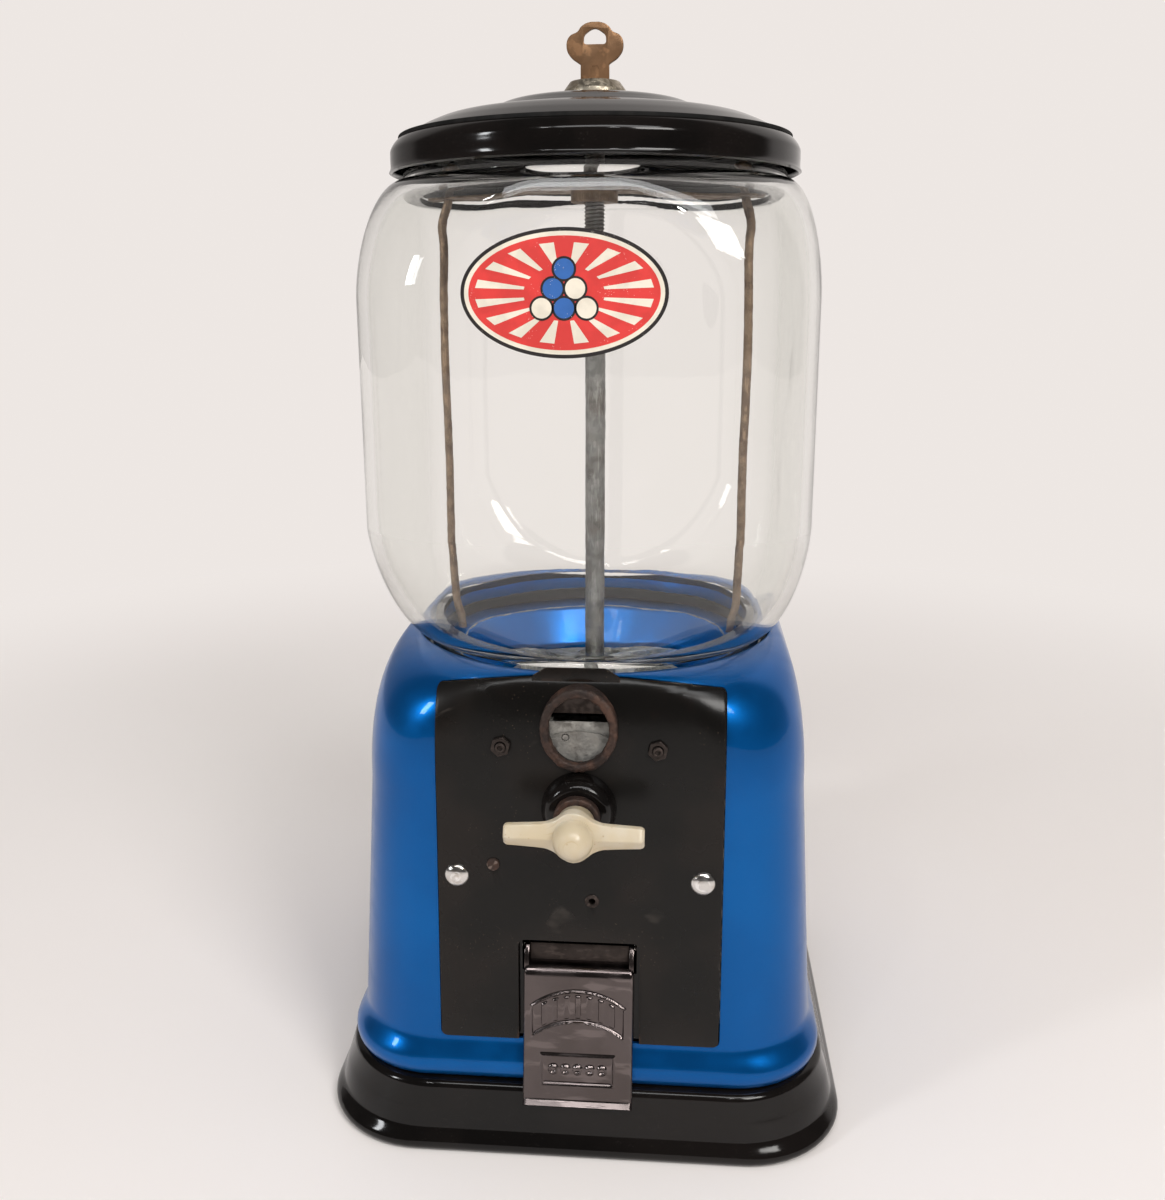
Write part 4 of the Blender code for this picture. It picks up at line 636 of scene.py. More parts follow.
# %% Rings round a square with soft corners
def square_point(share, half, corner, roundness):
    """A point of a rounded square, a share of the way round; at roundness 1 it is a circle."""
    radius = corner + (half - corner) * roundness
    side = max(half - radius, 0.0)
    arc = radius * math.pi / 2
    quadrant, along = divmod(share * 4, 1)
    along *= 2 * side + arc
    if along < side:
        x, y = along, -half
    elif along < side + arc:
        turn = (along - side) / radius
        x, y = side + radius * math.sin(turn), -side - radius * math.cos(turn)
    else:
        x, y = half, along - side - arc - side
    turned = Matrix.Rotation(math.pi / 2 * quadrant, 2) @ Vector((x, y))
    return turned.x, turned.y


def square_front(right, half, corner, roundness):
    """How far ahead the same rounded square is, at a place to the right of its middle."""
    radius = corner + (half - corner) * roundness
    side = half - radius
    beyond = max(abs(right) - side, 0.0)
    return side + math.sqrt(max(radius ** 2 - beyond ** 2, 0.0))


def square_loft(sections, corner, foot=False, steps=160):
    """A shell through square rings, each given as (half width, height, roundness)."""
    return lofted([[(*square_point(index / steps, half, corner, roundness), height)
                    for index in range(steps)] for half, height, roundness in sections], foot)


# %% Places
def facing_front(ahead=0.0, right=0.0, height=0.0):
    """Lays a shape drawn along +Z so that it points to the front (-Y)."""
    return Matrix.Translation((right, -ahead, height)) @ Matrix.Rotation(math.pi / 2, 4, "X")


def facing_right(middle=0.0, back=0.0, height=0.0):
    """A plane that faces +X: its own X is back (+Y), its Y is up."""
    turn = Matrix(((0, 0, 1, 0), (1, 0, 0, 0), (0, 1, 0, 0), (0, 0, 0, 1)))
    return Matrix.Translation((middle, back, height)) @ turn


def moved(bm, place):
    bm.transform(place)
    return bm


def raised(bm, height):
    return moved(bm, Matrix.Translation((0, 0, height)))


# %% Cuts, unions and modifiers
def sliced(bm, axis, places):
    """Cut a sheet across by planes square to an axis, so that it can follow a curve."""
    for place in places:
        bmesh.ops.bisect_plane(bm, geom=[*bm.verts, *bm.edges, *bm.faces], dist=TOUCH,
                               plane_co=Vector(axis) * place, plane_no=axis)


def together(*meshes):
    """Several shapes in one mesh."""
    whole = meshes[0]
    for other in meshes[1:]:
        scratch = bpy.data.meshes.new("scratch")
        other.to_mesh(scratch)
        other.free()
        whole.from_mesh(scratch)
        bpy.data.meshes.remove(scratch)
    return whole


def worked(bm, steps=(), cutters=()):
    """Apply modifiers, given as (type, values), and cut shapes away; returns a new mesh."""
    things = []
    for shape in (bm, *cutters):
        bmesh.ops.recalc_face_normals(shape, faces=shape.faces)
        mesh = bpy.data.meshes.new("scratch")
        shape.to_mesh(mesh)
        shape.free()
        thing = bpy.data.objects.new("scratch", mesh)
        scene.collection.objects.link(thing)
        things.append(thing)
    cuts = [("BOOLEAN", {"operation": "DIFFERENCE", "solver": "EXACT", "object": tool})
            for tool in things[1:]]
    for kind, values in (*steps, *cuts):
        change = things[0].modifiers.new(kind.lower(), kind)
        for label, value in values.items():
            setattr(change, label, value)
    bpy.context.view_layer.update()
    done = bpy.data.meshes.new_from_object(
        things[0].evaluated_get(bpy.context.evaluated_depsgraph_get()))
    fresh = bmesh.new()
    fresh.from_mesh(done)
    bpy.data.meshes.remove(done)
    for thing in things:
        mesh = thing.data
        bpy.data.objects.remove(thing)
        bpy.data.meshes.remove(mesh)
    return fresh


# %% Sheets with a thickness
def wall(thickness, outward=False):
    """The Solidify step that gives a skin its thickness, inwards unless told otherwise."""
    return ("SOLIDIFY", {"thickness": thickness, "offset": 1.0 if outward else -1.0,
                         "use_even_offset": True})


def backed(bm, thickness):
    """Give a sheet that faces the front its thickness at the back."""
    bmesh.ops.recalc_face_normals(bm, faces=bm.faces)
    front = sum((face.normal for face in bm.faces), Vector()).y < 0
    return worked(bm, [("SOLIDIFY", {"thickness": thickness, "offset": -1.0 if front else 1.0})])


def finish_piece(name, bm, finish, stands_for=(), body="machine", sharp=38):
    """Scale a drawn shape to metres, give it its finish, and let it ride on its body."""
    bmesh.ops.remove_doubles(bm, verts=bm.verts, dist=TOUCH)
    bmesh.ops.recalc_face_normals(bm, faces=bm.faces)
    bmesh.ops.scale(bm, vec=(MM, MM, MM), verts=bm.verts)
    mesh = bpy.data.meshes.new(name)
    bm.to_mesh(mesh)
    bm.free()
    mesh.shade_smooth()
    mesh.set_sharp_from_angle(angle=math.radians(sharp))
    mesh.materials.append(finishes[finish])
    piece = bpy.data.objects.new(name, mesh)
    looks.objects.link(piece)
    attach(piece, body)
    if stands_for:
        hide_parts(*stands_for)
    print(name, len(mesh.polygons), "faces")


# %% [markdown]
# ## Tray
# The machine stands on a pressed black tray: a rolled bead at the foot, a hollow waist and a
# rim that holds the casing. One ring is extruded up this profile, then Solidify gives it the
# thickness of the sheet.

# %% Tray
SHEET = 1.2
TRAY_CORNER = 38.0
foot, bead, waist = (95.44, 0.0), (98.6, 3.25), (95.64, 10.0)
top, rim = (92.19, 21.75), (89.04, 25.0)
outline = [foot, *quarter(foot, bead, 8, True), *eased(bead, waist, 10), (94.0, 15.5), top,
           *quarter(top, rim, 8, False), (87.0, 25.0), (85.6, 25.0), (85.6, 28.5)]
shell = square_loft([(*point, 0.0) for point in outline], TRAY_CORNER, True)
finish_piece("tray", worked(shell, [wall(SHEET)]), "black_enamel", ["base_tray"], sharp=50)

# %% [markdown]
# ## Casing
# The blue casing is drawn from sheet too: a bead at its foot, four walls that lean in, a
# round shoulder that turns the square into a circle, and a lip turned down to a ledge. The
# front plate fills an opening with an arched top, so the same outline, a little larger,
# cuts the casing.

# %% Casing profile
BEAD_TOP, WALL_TOP, CASING_TOP = 41.7, 131.0, 178.4
WALL_FOOT_HALF, WALL_TOP_HALF, MOUTH_HALF = 86.3, 81.6, 72.6
CASING_CORNER = 32.0
MOUTH_RADIUS, LEDGE_RADIUS, LEDGE_TOP = 71.4, 61.0, 167.7
PLATE_HALF, PLATE_HEIGHT, PLATE_RISE, PLATE_CORNER = 50.7, 136.1, 4.6, 2.5


def casing_at(height):
    """Half width and roundness of the casing above its bead."""
    if height <= WALL_TOP:
        share = (height - BEAD_TOP) / (WALL_TOP - BEAD_TOP)
        return WALL_FOOT_HALF + (WALL_TOP_HALF - WALL_FOOT_HALF) * share, 0.0
    turn = math.asin(min((height - WALL_TOP) / (CASING_TOP - WALL_TOP), 1.0))
    half = WALL_TOP_HALF + (MOUTH_HALF - WALL_TOP_HALF) * (1 - math.cos(turn))
    return half, min((turn * 2 / math.pi) ** 3, 1.0)


def skin_ahead(right, height):
    """How far ahead of the middle the casing's front skin is."""
    half, roundness = casing_at(height)
    return square_front(right, half, CASING_CORNER, roundness)


def plate_outline(margin=0.0, steps=24):
    """The front plate's outline, with an arched top."""
    half, foot, crown = PLATE_HALF + margin, BEAD_TOP - margin, BEAD_TOP + PLATE_HEIGHT + margin
    radius = (half ** 2 + PLATE_RISE ** 2) / (2 * PLATE_RISE)
    arch = []
    for step in range(1, steps):
        right = half * (1 - 2 * step / steps)
        arch.append((right, crown - radius + math.sqrt(radius ** 2 - right ** 2), 0.0))
    shoulder = crown - PLATE_RISE
    return filleted([(half, foot, PLATE_CORNER), (half, shoulder, PLATE_CORNER), *arch,
                     (-half, shoulder, PLATE_CORNER), (-half, foot, PLATE_CORNER)], True)


# %% Casing
foot, bead, wall_foot = (87.3, 25.3), (90.0, 31.04), (WALL_FOOT_HALF, BEAD_TOP)
sections = [(*point, 0.0) for point in (foot, *quarter(foot, bead, 8, True),
                                        *eased(bead, wall_foot, 12))]
heights = [BEAD_TOP + (WALL_TOP - BEAD_TOP) * step / 6 for step in range(1, 7)]
heights += [WALL_TOP + (CASING_TOP - WALL_TOP) * math.sin(math.pi / 2 * step / 26)
            for step in range(1, 27)]
for height in heights:
    half, roundness = casing_at(height)
    sections.append((half, height, roundness))
lip = quarter((MOUTH_HALF, CASING_TOP), (MOUTH_RADIUS, CASING_TOP - SHEET), 4, True)
lip += [(MOUTH_RADIUS, 172.0), (MOUTH_RADIUS, 168.9)]
lip += quarter(lip[-1], (MOUTH_RADIUS - SHEET, LEDGE_TOP), 4, False)
lip += [(66.0, LEDGE_TOP), (LEDGE_RADIUS, LEDGE_TOP)]
sections += [(*point, 1.0) for point in lip]
shell = square_loft(sections, CASING_CORNER)
opening = moved(slab([plate_outline(0.5)], 40.0), facing_front(80.0))
guard = spun([(0.0, LEDGE_TOP - 4.0), (MOUTH_HALF + 0.3, LEDGE_TOP - 4.0),
              (MOUTH_HALF + 0.3, CASING_TOP + 4.0), (0.0, CASING_TOP + 4.0)], 160)
casing = worked(shell, [wall(SHEET)], [worked(opening, cutters=[guard])])
finish_piece("casing", casing, "blue_enamel", ["casing_shell"], sharp=40)

# %% [markdown]
# ## Front plate
# The plate is bent to the same skin as the casing, so it is cut flat, sliced into strips
# with bisect, and every point is then pushed out to the skin. Solidify and Bevel make it a
# sheet with soft rims, which the rust mask then finds.

# %% Front plate
AXIS = 132.0
SCREW_RIGHT, SCREW_HEIGHT = 44.0, 105.0
STUD_RIGHT, STUD_HEIGHT = 27.5, AXIS + 22.0
RIVET, HOLLOW_SCREW = (-30.7, AXIS - 22.2), (4.7, AXIS - 35.1)
WINDOW_HEIGHT, WINDOW_HALF_WIDTH, WINDOW_HALF_HEIGHT = AXIS + 28.9, 10.6, 12.1
DOOR_HALF, DOOR_TOP = 22.0, 81.0
mouth = filleted([(-DOOR_HALF, BEAD_TOP, 0), (-DOOR_HALF, DOOR_TOP, 3.0),
                  (DOOR_HALF, DOOR_TOP, 3.0), (DOOR_HALF, BEAD_TOP, 0)])
# The outline starts at the right foot and runs up, over the arch and down the left side.
outline = plate_outline()
edge = [*(point for point in outline if point[0] >= 0),
        *(point for point in outline if point[0] < 0), *mouth]
holes = [circle(2.2, 24, side * SCREW_RIGHT, SCREW_HEIGHT) for side in (-1, 1)]
holes += [circle(2.3, 24, side * STUD_RIGHT, STUD_HEIGHT) for side in (-1, 1)]
holes += [circle(1.9, 20, *RIVET), circle(2.1, 20, *HOLLOW_SCREW), circle(6.3, 32, 0.0, AXIS),
          oval(WINDOW_HALF_WIDTH, WINDOW_HALF_HEIGHT, 48, 0.0, WINDOW_HEIGHT)]
plate = flat([edge, *holes], lambda x, y: (x, 0.0, y))
sliced(plate, (0, 0, 1), [52, 64, 76, 88, 100, 112, 124, 131])
sliced(plate, (0, 0, 1), [WALL_TOP + 2.0 * step for step in range(1, 23)])
sliced(plate, (1, 0, 0), [step * 3.3 for step in range(-15, 16)])
for vert in plate.verts:
    vert.co.y = -skin_ahead(vert.co.x, vert.co.z)
plate = soften(worked(plate, [wall(SHEET, True)]), 0.35, 2, 60)
finish_piece("plate", plate, "worn_black", ["front_plate"], sharp=30)

# %% Tab above the plate
tab = filleted([(14.0, 171.0, 0), (14.0, 178.2, 2.0), (9.0, 181.4, 2.0),
                (-12.0, 181.4, 2.0), (-17.0, 178.2, 2.0), (-17.0, 171.0, 0)])
tab = moved(slab([tab], 1.0, 0.25, 2), facing_front(75.9))
finish_piece("plate_tab", tab, "worn_black", ["front_plate"])

# %% [markdown]
# ## Small pieces on the plate
# Domed screws, hexagon nuts on stud ends, a rivet and a hollow screw hold the mechanism.
# Each is turned or extruded and set on the skin at its own height.

# %% Screws and nuts
SEAT = 0.3


def on_skin(right, height, below=0.0):
    """A place on the plate; the skin is measured a little below, where it is further out."""
    return facing_front(skin_ahead(right, height - below) + SEAT, right, height)


for side, word in ((-1, "left"), (1, "right")):
    dome = quarter((0.0, 2.6), (4.5, 0.35), 10, True)
    screw = spun([(0.0, 2.6), *dome, (4.5, 0.0), (1.9, 0.0), (1.9, -8.0), (0.0, -8.0)], 64)
    finish_piece("domed_screw_" + word, moved(screw, on_skin(side * SCREW_RIGHT, SCREW_HEIGHT)),
                 "polished_steel", ["cover_screw_" + word], sharp=30)
    place = on_skin(side * STUD_RIGHT, STUD_HEIGHT, 3.0)
    stud = spun(filleted([(0.0, 1.9, 0), (0.9, 1.9, 0.3), (0.9, 2.9, 0.3), (1.9, 2.9, 0.5),
                          (1.9, -18.0, 0), (0.0, -18.0, 0)], steps=4), 28)
    finish_piece(f"hexagon_nut_{word}_stud", moved(stud, place), "sooty_steel",
                 ["plate_stud_" + word], sharp=30)
    nut = soften(slab([circle(3.64, 6, start=0.3), circle(2.0, 28)], 2.5), 0.3, 2)
    nut = moved(raised(nut, 1.25), place @ Matrix.Rotation(math.radians(-6), 4, "X"))
    finish_piece("hexagon_nut_" + word, nut, "sooty_steel", ["plate_nut_" + word], sharp=30)

# %% Rivet and hollow screw
rivet = spun(filleted([(0.0, 1.6, 0), (2.32, 1.6, 0.5), (2.32, 0.0, 0), (1.6, 0.0, 0),
                       (1.6, -19.0, 0), (0.0, -19.0, 0)], steps=5), 36)
finish_piece("pivot_rivet", moved(rivet, on_skin(*RIVET, 2.3)), "rusty_steel",
             ["pawl_pivot_rivet"], sharp=30)
screw = spun(filleted([(0.0, -1.9, 0), (1.17, -1.9, 0), (1.17, 1.0, 0.3), (2.61, 1.0, 0.4),
                       (2.61, 0.0, 0), (1.8, 0.0, 0), (1.8, -15.5, 0), (0.0, -15.5, 0)],
                      steps=4), 36)
finish_piece("hollow_screw", moved(screw, on_skin(*HOLLOW_SCREW, 2.6)), "sooty_steel",
             ["spring_screw"], sharp=30)

# %% [markdown]
# ## Coin window
# A raised oval rim, rusted all over, frames the window. An oval tube bent to shape could do,
# but a ring extruded from two ovals has the flat walls that the real rim shows.


# %% Window rim
def roughened(bm, size, amount, seed=0.0):
    """Push points along their normals by a noise, for rust or casting."""
    bm.normal_update()
    shifts = [vert.normal * amount * noise.noise(vert.co / size + Vector((seed, seed, seed)))
              for vert in bm.verts]
    for vert, shift in zip(bm.verts, shifts):
        vert.co += shift
    return bm


outer = oval(WINDOW_HALF_WIDTH + 3.0, WINDOW_HALF_HEIGHT + 3.1, 96, 0.0, WINDOW_HEIGHT)
inner = oval(WINDOW_HALF_WIDTH, WINDOW_HALF_HEIGHT, 96, 0.0, WINDOW_HEIGHT)
ring = moved(soften(slab([outer, inner], 7.4), 1.2, 5), facing_front(80.6))
for vert in ring.verts:
    if vert.co.y > -80.0:
        vert.co.y = -skin_ahead(vert.co.x, vert.co.z) - 0.1
bmesh.ops.subdivide_edges(ring, edges=[e for e in ring.edges if e.calc_length() > 1.5],
                          cuts=2, use_grid_fill=True)
finish_piece("window_rim", roughened(ring, 1.5, 0.34), "rusty_steel", ["coin_window_rim"],
             sharp=60)

# %% Behind the window: the coin shelf, and a dark sheet of painted shade that closes the view above it
shelf = moved(slab([oblong(31.5, 148.2, 162.0)], 1.0, 0.3, 3), facing_front(76.8))
finish_piece("coin_shelf", shelf, "cast_alloy", ["coin_ledge"], sharp=35)
# A dark sheet that is painted shade: it stands for the shadow inside the casing above the coin
# shelf.
shade = moved(slab([oblong(12.5, 164.4, 173.6)], 0.8, 0.2, 2), facing_front(74.9))
finish_piece("window_painted_shade", shade, "sooty_steel", sharp=35)

# %% [markdown]
# ## Bushing, collar and handle
# The shaft runs out through a domed bushing and a rusty collar to the ivory handle. The
# handle's wings have a ridge along the middle of the front, so a ring of points is extruded
# along the handle and fitted to its outline at every step.

# %% Bushing and collar
ON_AXIS = facing_front(0.0, 0.0, AXIS)
nose = (9.3, 90.0)
bushing = spun([(3.8, 89.4), (3.8, 89.7), (4.2, 90.0), nose,
                *quarter(nose, (13.35, 82.5), 14, True), (13.35, 81.3), (3.8, 81.3)], 72, True)
finish_piece("bushing_dome", moved(bushing, ON_AXIS), "black_enamel", ["shaft_bushing"],
             sharp=40)
collar = spun(filleted([(3.8, 94.0, 0.2), (8.2, 94.0, 0.9), (8.2, 90.3, 0.3), (3.8, 90.3, 0.2)],
                       True, 4), 60, True)
finish_piece("rusty_collar", moved(roughened(collar, 1.4, 0.14), ON_AXIS), "rusty_steel",
             ["shaft_collar"], "drive", sharp=50)

# %% Handle
HANDLE_LINE = flowing([(0.0, 9.0), (1.8, 8.75), (3.3, 8.05), (4.8, 6.95), (6.4, 5.75),
                       (8.5, 4.85), (10.5, 4.4), (15.0, 4.05), (20.0, 3.75), (23.0, 3.6)], 6)
WING_END, END_ROUND = 22.0, 1.68


def handle_half_height(right):
    """Half the handle's height, at a place to the right of its middle."""
    right = min(abs(right), HANDLE_LINE[-1][0])
    for (x0, y0), (x1, y1) in zip(HANDLE_LINE, HANDLE_LINE[1:]):
        if x0 <= right <= x1:
            return y0 + (y1 - y0) * (right - x0) / (x1 - x0)
    return HANDLE_LINE[-1][1]


def wing_section(half, swell):
    """A ring in (depth, height): a ridge at the front, thin rims and a flat back."""
    ridge, rim_front, rim_back, back = 3.4, 1.1 + 1.4 * swell, -1.0 - 1.2 * swell, -3.0
    return filleted([(ridge, 0.0, 0.8), (rim_front, half, 0.7), (rim_back, half, 0.9),
                     (back, half * 0.72, 1.0), (back, -half * 0.72, 1.0),
                     (rim_back, -half, 0.9), (rim_front, -half, 0.7)], True, 5)


rounding = [22.2, 22.8, 23.25, 23.55, 23.65]
stations = [-place for place in reversed(rounding)]
stations += [-21.5 + 43.0 * step / 60 for step in range(61)] + rounding
rings = []
for right in stations:
    shrink = math.sqrt(max(1 - max(abs(right) - WING_END, 0.0) ** 2 / END_ROUND ** 2, 0.02))
    section = wing_section(handle_half_height(right), max(0.0, 1 - abs(right) / 9.0))
    rings.append([(right, height * (0.72 + 0.28 * shrink), depth * (0.45 + 0.55 * shrink))
                  for depth, height in section])
wings = moved(lofted(rings, True, True), facing_front(104.0, 0.0, AXIS))
finish_piece("handle_wings", wings, "aged_ivory", ["handle"], "drive", sharp=60)
dome = spun([(0.0, 114.5), *quarter((0.0, 114.5), (6.85, 107.6), 16, True), (6.85, 104.0),
             (6.4, 102.5), (6.4, 94.6), (6.1, 94.3), (3.8, 94.3), (3.8, 103.9), (0.0, 104.3)], 64)
finish_piece("handle_dome", moved(dome, ON_AXIS), "aged_ivory", ["handle"], "drive", sharp=50)

# %% [markdown]
# ## Flap
# The flap is one bent sheet with pressed panels. A grid is rolled over the bent profile, and
# each point is raised by a function of its place: a raised border line round an arched
# panel with ribs, and round a straight panel with a row of round buttons.

# %% The flap's pressed pattern
ARCH_RADIUS, ARCH_CROWN, ARCH_DEPTH, ARCH_HALF = 27.0, 9.5, 11.4, 16.7
RIB_PITCH, RIB_HALF = 4.1, 1.05
PANEL_HALF, PANEL_TOP, PANEL_FOOT = 13.0, 33.2, 44.2
BUTTONS, BUTTON_DOWN, BUTTON_RADIUS = (-8.8, -4.4, 0.0, 4.4, 8.8), 38.7, 1.35
SUNK = 0.25


def ridge(distance, width=0.42):
    """A soft raised line, 1 high on the line itself."""
    return math.exp(-(distance / width) ** 2)


def kept_in(value):
    """A value held between 0 and 1."""
    return min(max(value, 0.0), 1.0)


def panel_relief(right, down):
    """Height of the pressed pattern, from the place across and down from the bend."""
    crown = ARCH_CROWN + ARCH_RADIUS - math.sqrt(ARCH_RADIUS ** 2 - min(abs(right), 20.0) ** 2)
    inside = min(down - crown, crown + ARCH_DEPTH - down, ARCH_HALF - abs(right))
    height = 0.55 * ridge(inside)
    if inside > 0:
        beside = abs((right / RIB_PITCH + 0.5) % 1.0 - 0.5) * RIB_PITCH
        rib = kept_in((RIB_HALF - beside) / 0.4) * kept_in((inside - 1.5) / 0.4)
        height += 0.55 * rib - SUNK * min(inside, 1.0)
    inside = min(PANEL_HALF - abs(right), down - PANEL_TOP, PANEL_FOOT - down)
    height += 0.50 * ridge(inside)
    if inside > 0:
        height -= SUNK * min(inside, 1.0)
        for button in BUTTONS:
            gap = math.hypot(right - button, down - BUTTON_DOWN)
            height += 0.65 * ridge(gap - BUTTON_RADIUS, 0.45)
    return height


# %% Flap
PIN_BACK, PIN_HEIGHT = -79.5, 76.0
FLAP_HALF, FLAP_CURL = 19.85, 1.3
FLAP_LINE = filleted([(-3.4, -3.4, 0), (-8.5, -5.3, 6.0), (-16.4, -52.7, 0.7),
                      (-18.1, -54.2, 0)], steps=14)
BEND = math.hypot(5.1, 1.9) - 2.45
lengths = [0.0]
for start, stop in zip(FLAP_LINE, FLAP_LINE[1:]):
    lengths.append(lengths[-1] + math.dist(start, stop))


def on_flap(length):
    """A point of the flap's profile, and the way that faces out there."""
    length = min(max(length, 0.0), lengths[-1] - TOUCH)
    index = next(index for index, end in enumerate(lengths) if index and length <= end)
    share = (length - lengths[index - 1]) / (lengths[index] - lengths[index - 1])
    a, b = Vector(FLAP_LINE[index - 1]), Vector(FLAP_LINE[index])
    run = (b - a).normalized()
    return a.lerp(b, share), Vector((run.y, -run.x))


bm = bmesh.new()
bmesh.ops.create_grid(bm, x_segments=110, y_segments=160, size=1.0)
for vert in bm.verts:
    right = vert.co.x * FLAP_HALF
    length = (1 - vert.co.y) / 2 * lengths[-1]
    place, out = on_flap(length)
    if 2.0 < length - BEND < 49.0:
        place += out * panel_relief(right, length - BEND)
    # The side edges roll back to meet the ears.
    over = abs(right) - (FLAP_HALF - FLAP_CURL)
    if over > 0:
        place -= out * (FLAP_CURL - math.sqrt(max(FLAP_CURL ** 2 - over ** 2, 0.0))) * 0.85
    vert.co = (right, PIN_BACK + place.x, PIN_HEIGHT + place.y)
finish_piece("flap_sheet", backed(bm, 1.0), "flap_plating", ["flap"], "flap", sharp=50)

# %% Ears, the dark strip between them that hides the pin, and the pin
outline = [(-7.0, -6.4), (-15.6, -51.5), (-12.9, -50.8), (-4.3, -9.0), (-1.6, -2.9)]
outline += [(3.2 * math.sin(math.pi * step / 16), -3.2 * math.cos(math.pi * step / 16))
            for step in range(1, 17)]
outline += [(-1.9, 3.0), (-4.2, 1.2), (-6.2, -2.2)]
ears = [moved(slab([outline, circle(1.5, 20)], 1.7, 0.3, 2),
              facing_right(side * 19.0, PIN_BACK, PIN_HEIGHT)) for side in (-1, 1)]
finish_piece("flap_ears", together(*ears), "flap_plating", ["flap"], "flap", sharp=40)
panel = moved(slab([oblong(17.9, -3.4, 3.4)], 0.6, 0.2, 2),
              facing_front(-PIN_BACK + 3.2, 0.0, PIN_HEIGHT - 1.0)
              @ Matrix.Rotation(math.radians(-8), 4, "X"))
finish_piece("hinge_panel", panel, "sooty_steel", ["flap"], "flap", 35)
pin = tube([(-21.5, PIN_BACK, PIN_HEIGHT), (21.5, PIN_BACK, PIN_HEIGHT)], 1.2, 24)
finish_piece("hinge_pin", soften(pin, 0.3, 2), "polished_steel", ["flap_pin"])

# %% [markdown]
# ## Globe
# The glass is square with soft corners in the middle and round at the foot and the neck. It
# is blown into a mould, so its outside is true and its inside wanders a little, which is
# what bends the reflections. The wall is given by Solidify, and the inner points are then
# moved by a slow noise.

# %% Globe
GLOBE_CORNER, GLOBE_HALF, GLOBE_WALL = 40.0, 81.2, 4.0
FOOT_HALF, NECK_HALF = 67.5, 71.6
GLOBE_FOOT, WALL_FROM, WALL_TO, SHOULDER, GLOBE_TOP = 171.3, 226.0, 306.0, 348.0, 362.0
steps = 26
neck = (FOOT_HALF, 178.3)
sections = [(FOOT_HALF, GLOBE_FOOT, 1.0), (FOOT_HALF, 174.8, 1.0), (*neck, 1.0)]
for step, point in enumerate(quarter(neck, (GLOBE_HALF, WALL_FROM), steps, True, 1.2), start=1):
    sections.append((*point, (1 - step / steps) ** 1.4))
sections += [(GLOBE_HALF, WALL_FROM + 8.0 * step, 0.0) for step in range(1, 11)]
for step, point in enumerate(quarter((GLOBE_HALF, WALL_TO), (NECK_HALF, SHOULDER), steps, False),
                             start=1):
    sections.append((*point, (step / steps) ** 1.5))
sections += [(NECK_HALF, height, 1.0) for height in (352.6, 357.3, GLOBE_TOP)]
shell = square_loft(sections, GLOBE_CORNER)
outside = len(shell.verts)
bm = worked(shell, [wall(GLOBE_WALL)])
bm.normal_update()
bm.verts.ensure_lookup_table()
for vert in bm.verts[outside:]:
    if GLOBE_FOOT + 8 < vert.co.z < GLOBE_TOP - 14:
        wave = noise.noise(vert.co / 38.0) + 0.4 * noise.noise(vert.co / 14.0)
        vert.co -= vert.normal * (0.12 * wave)
finish_piece("glass_globe", bm, "clear_glass", ["globe"], sharp=50)

# %% [markdown]
# ## Label
# A printed label sits on the front of the glass. It is a plain design of its own: an oval
# with a dark rim and red rays round a heap of round sweets. Flat shapes are dropped on the
# glass, each a hair further out than the one under it.

# %% A helper that lays shapes on the glass
LABEL_RIGHT, LABEL_HEIGHT = -4.3, 308.1


def globe_ahead(right, height):
    """How far ahead the outside of the glass is, between its base and its shoulder."""
    turn = math.asin(min(max((height - WALL_TO) / (SHOULDER - WALL_TO), 0.0), 1.0))
    half = GLOBE_HALF - (GLOBE_HALF - NECK_HALF) * (1 - math.cos(turn))
    return square_front(right, half, GLOBE_CORNER, (turn * 2 / math.pi) ** 1.5)


def lay_on_glass(name, outlines, finish, layer):
    """Flat shapes bent to the glass, a little further out for each layer."""
    bm = together(*(flat([outline], lambda x, y: (LABEL_RIGHT + x, 0.0, LABEL_HEIGHT + y), False)
                    for outline in outlines))
    sliced(bm, (1, 0, 0), range(-42, 34, 3))
    sliced(bm, (0, 0, 1), range(284, 332, 3))
    for vert in bm.verts:
        vert.co.y = -globe_ahead(vert.co.x, vert.co.z) - 0.03 - 0.05 * layer
    finish_piece(name, backed(bm, 0.04), finish, sharp=50)


# %% Label
WIDTH, HEIGHT = 33.3, 20.4
for layer, (name, inset, finish) in enumerate([("label_edge", 0.0, "label_black"),
                                               ("label_band", 1.2, "label_cream"),
                                               ("label_field", 2.6, "label_red")], start=1):
    lay_on_glass(name, [oval(WIDTH - inset, HEIGHT - inset, 96)], finish, layer)
rays = []
for number in range(16):
    turn = math.tau * (number + 0.5) / 16
    inner, outer = (13.0, 8.6), (WIDTH - 4.6, HEIGHT - 4.6)
    rays.append([(size[0] * math.cos(turn + way), size[1] * math.sin(turn + way))
                 for size, way in ((inner, -0.05), (outer, -0.085), (outer, 0.085),
                                   (inner, 0.05))])
lay_on_glass("label_rays", rays, "label_cream", 4)
sweets = [(-7.2, -4.6), (0.0, -4.6), (7.2, -4.6), (-3.6, 1.5), (3.6, 1.5), (0.0, 7.6)]
lay_on_glass("label_sweet_rims", [circle(3.9, 32, *sweet) for sweet in sweets], "label_black", 5)
lay_on_glass("label_sweets", [circle(3.2, 32, *sweet) for sweet in sweets[0::2]],
             "label_cream", 6)
lay_on_glass("label_sweets_blue", [circle(3.2, 32, *sweet) for sweet in sweets[1::2]],
             "label_blue", 6)

# %% [markdown]
# ## Inside the globe
# A rubber ring seals the glass on its ledge. Below it the blue hopper narrows to the wheel.
# Up the middle runs the threaded rod, with two thin rods at its sides and a bar across the
# top. All of them show through the glass, so none is left plain.

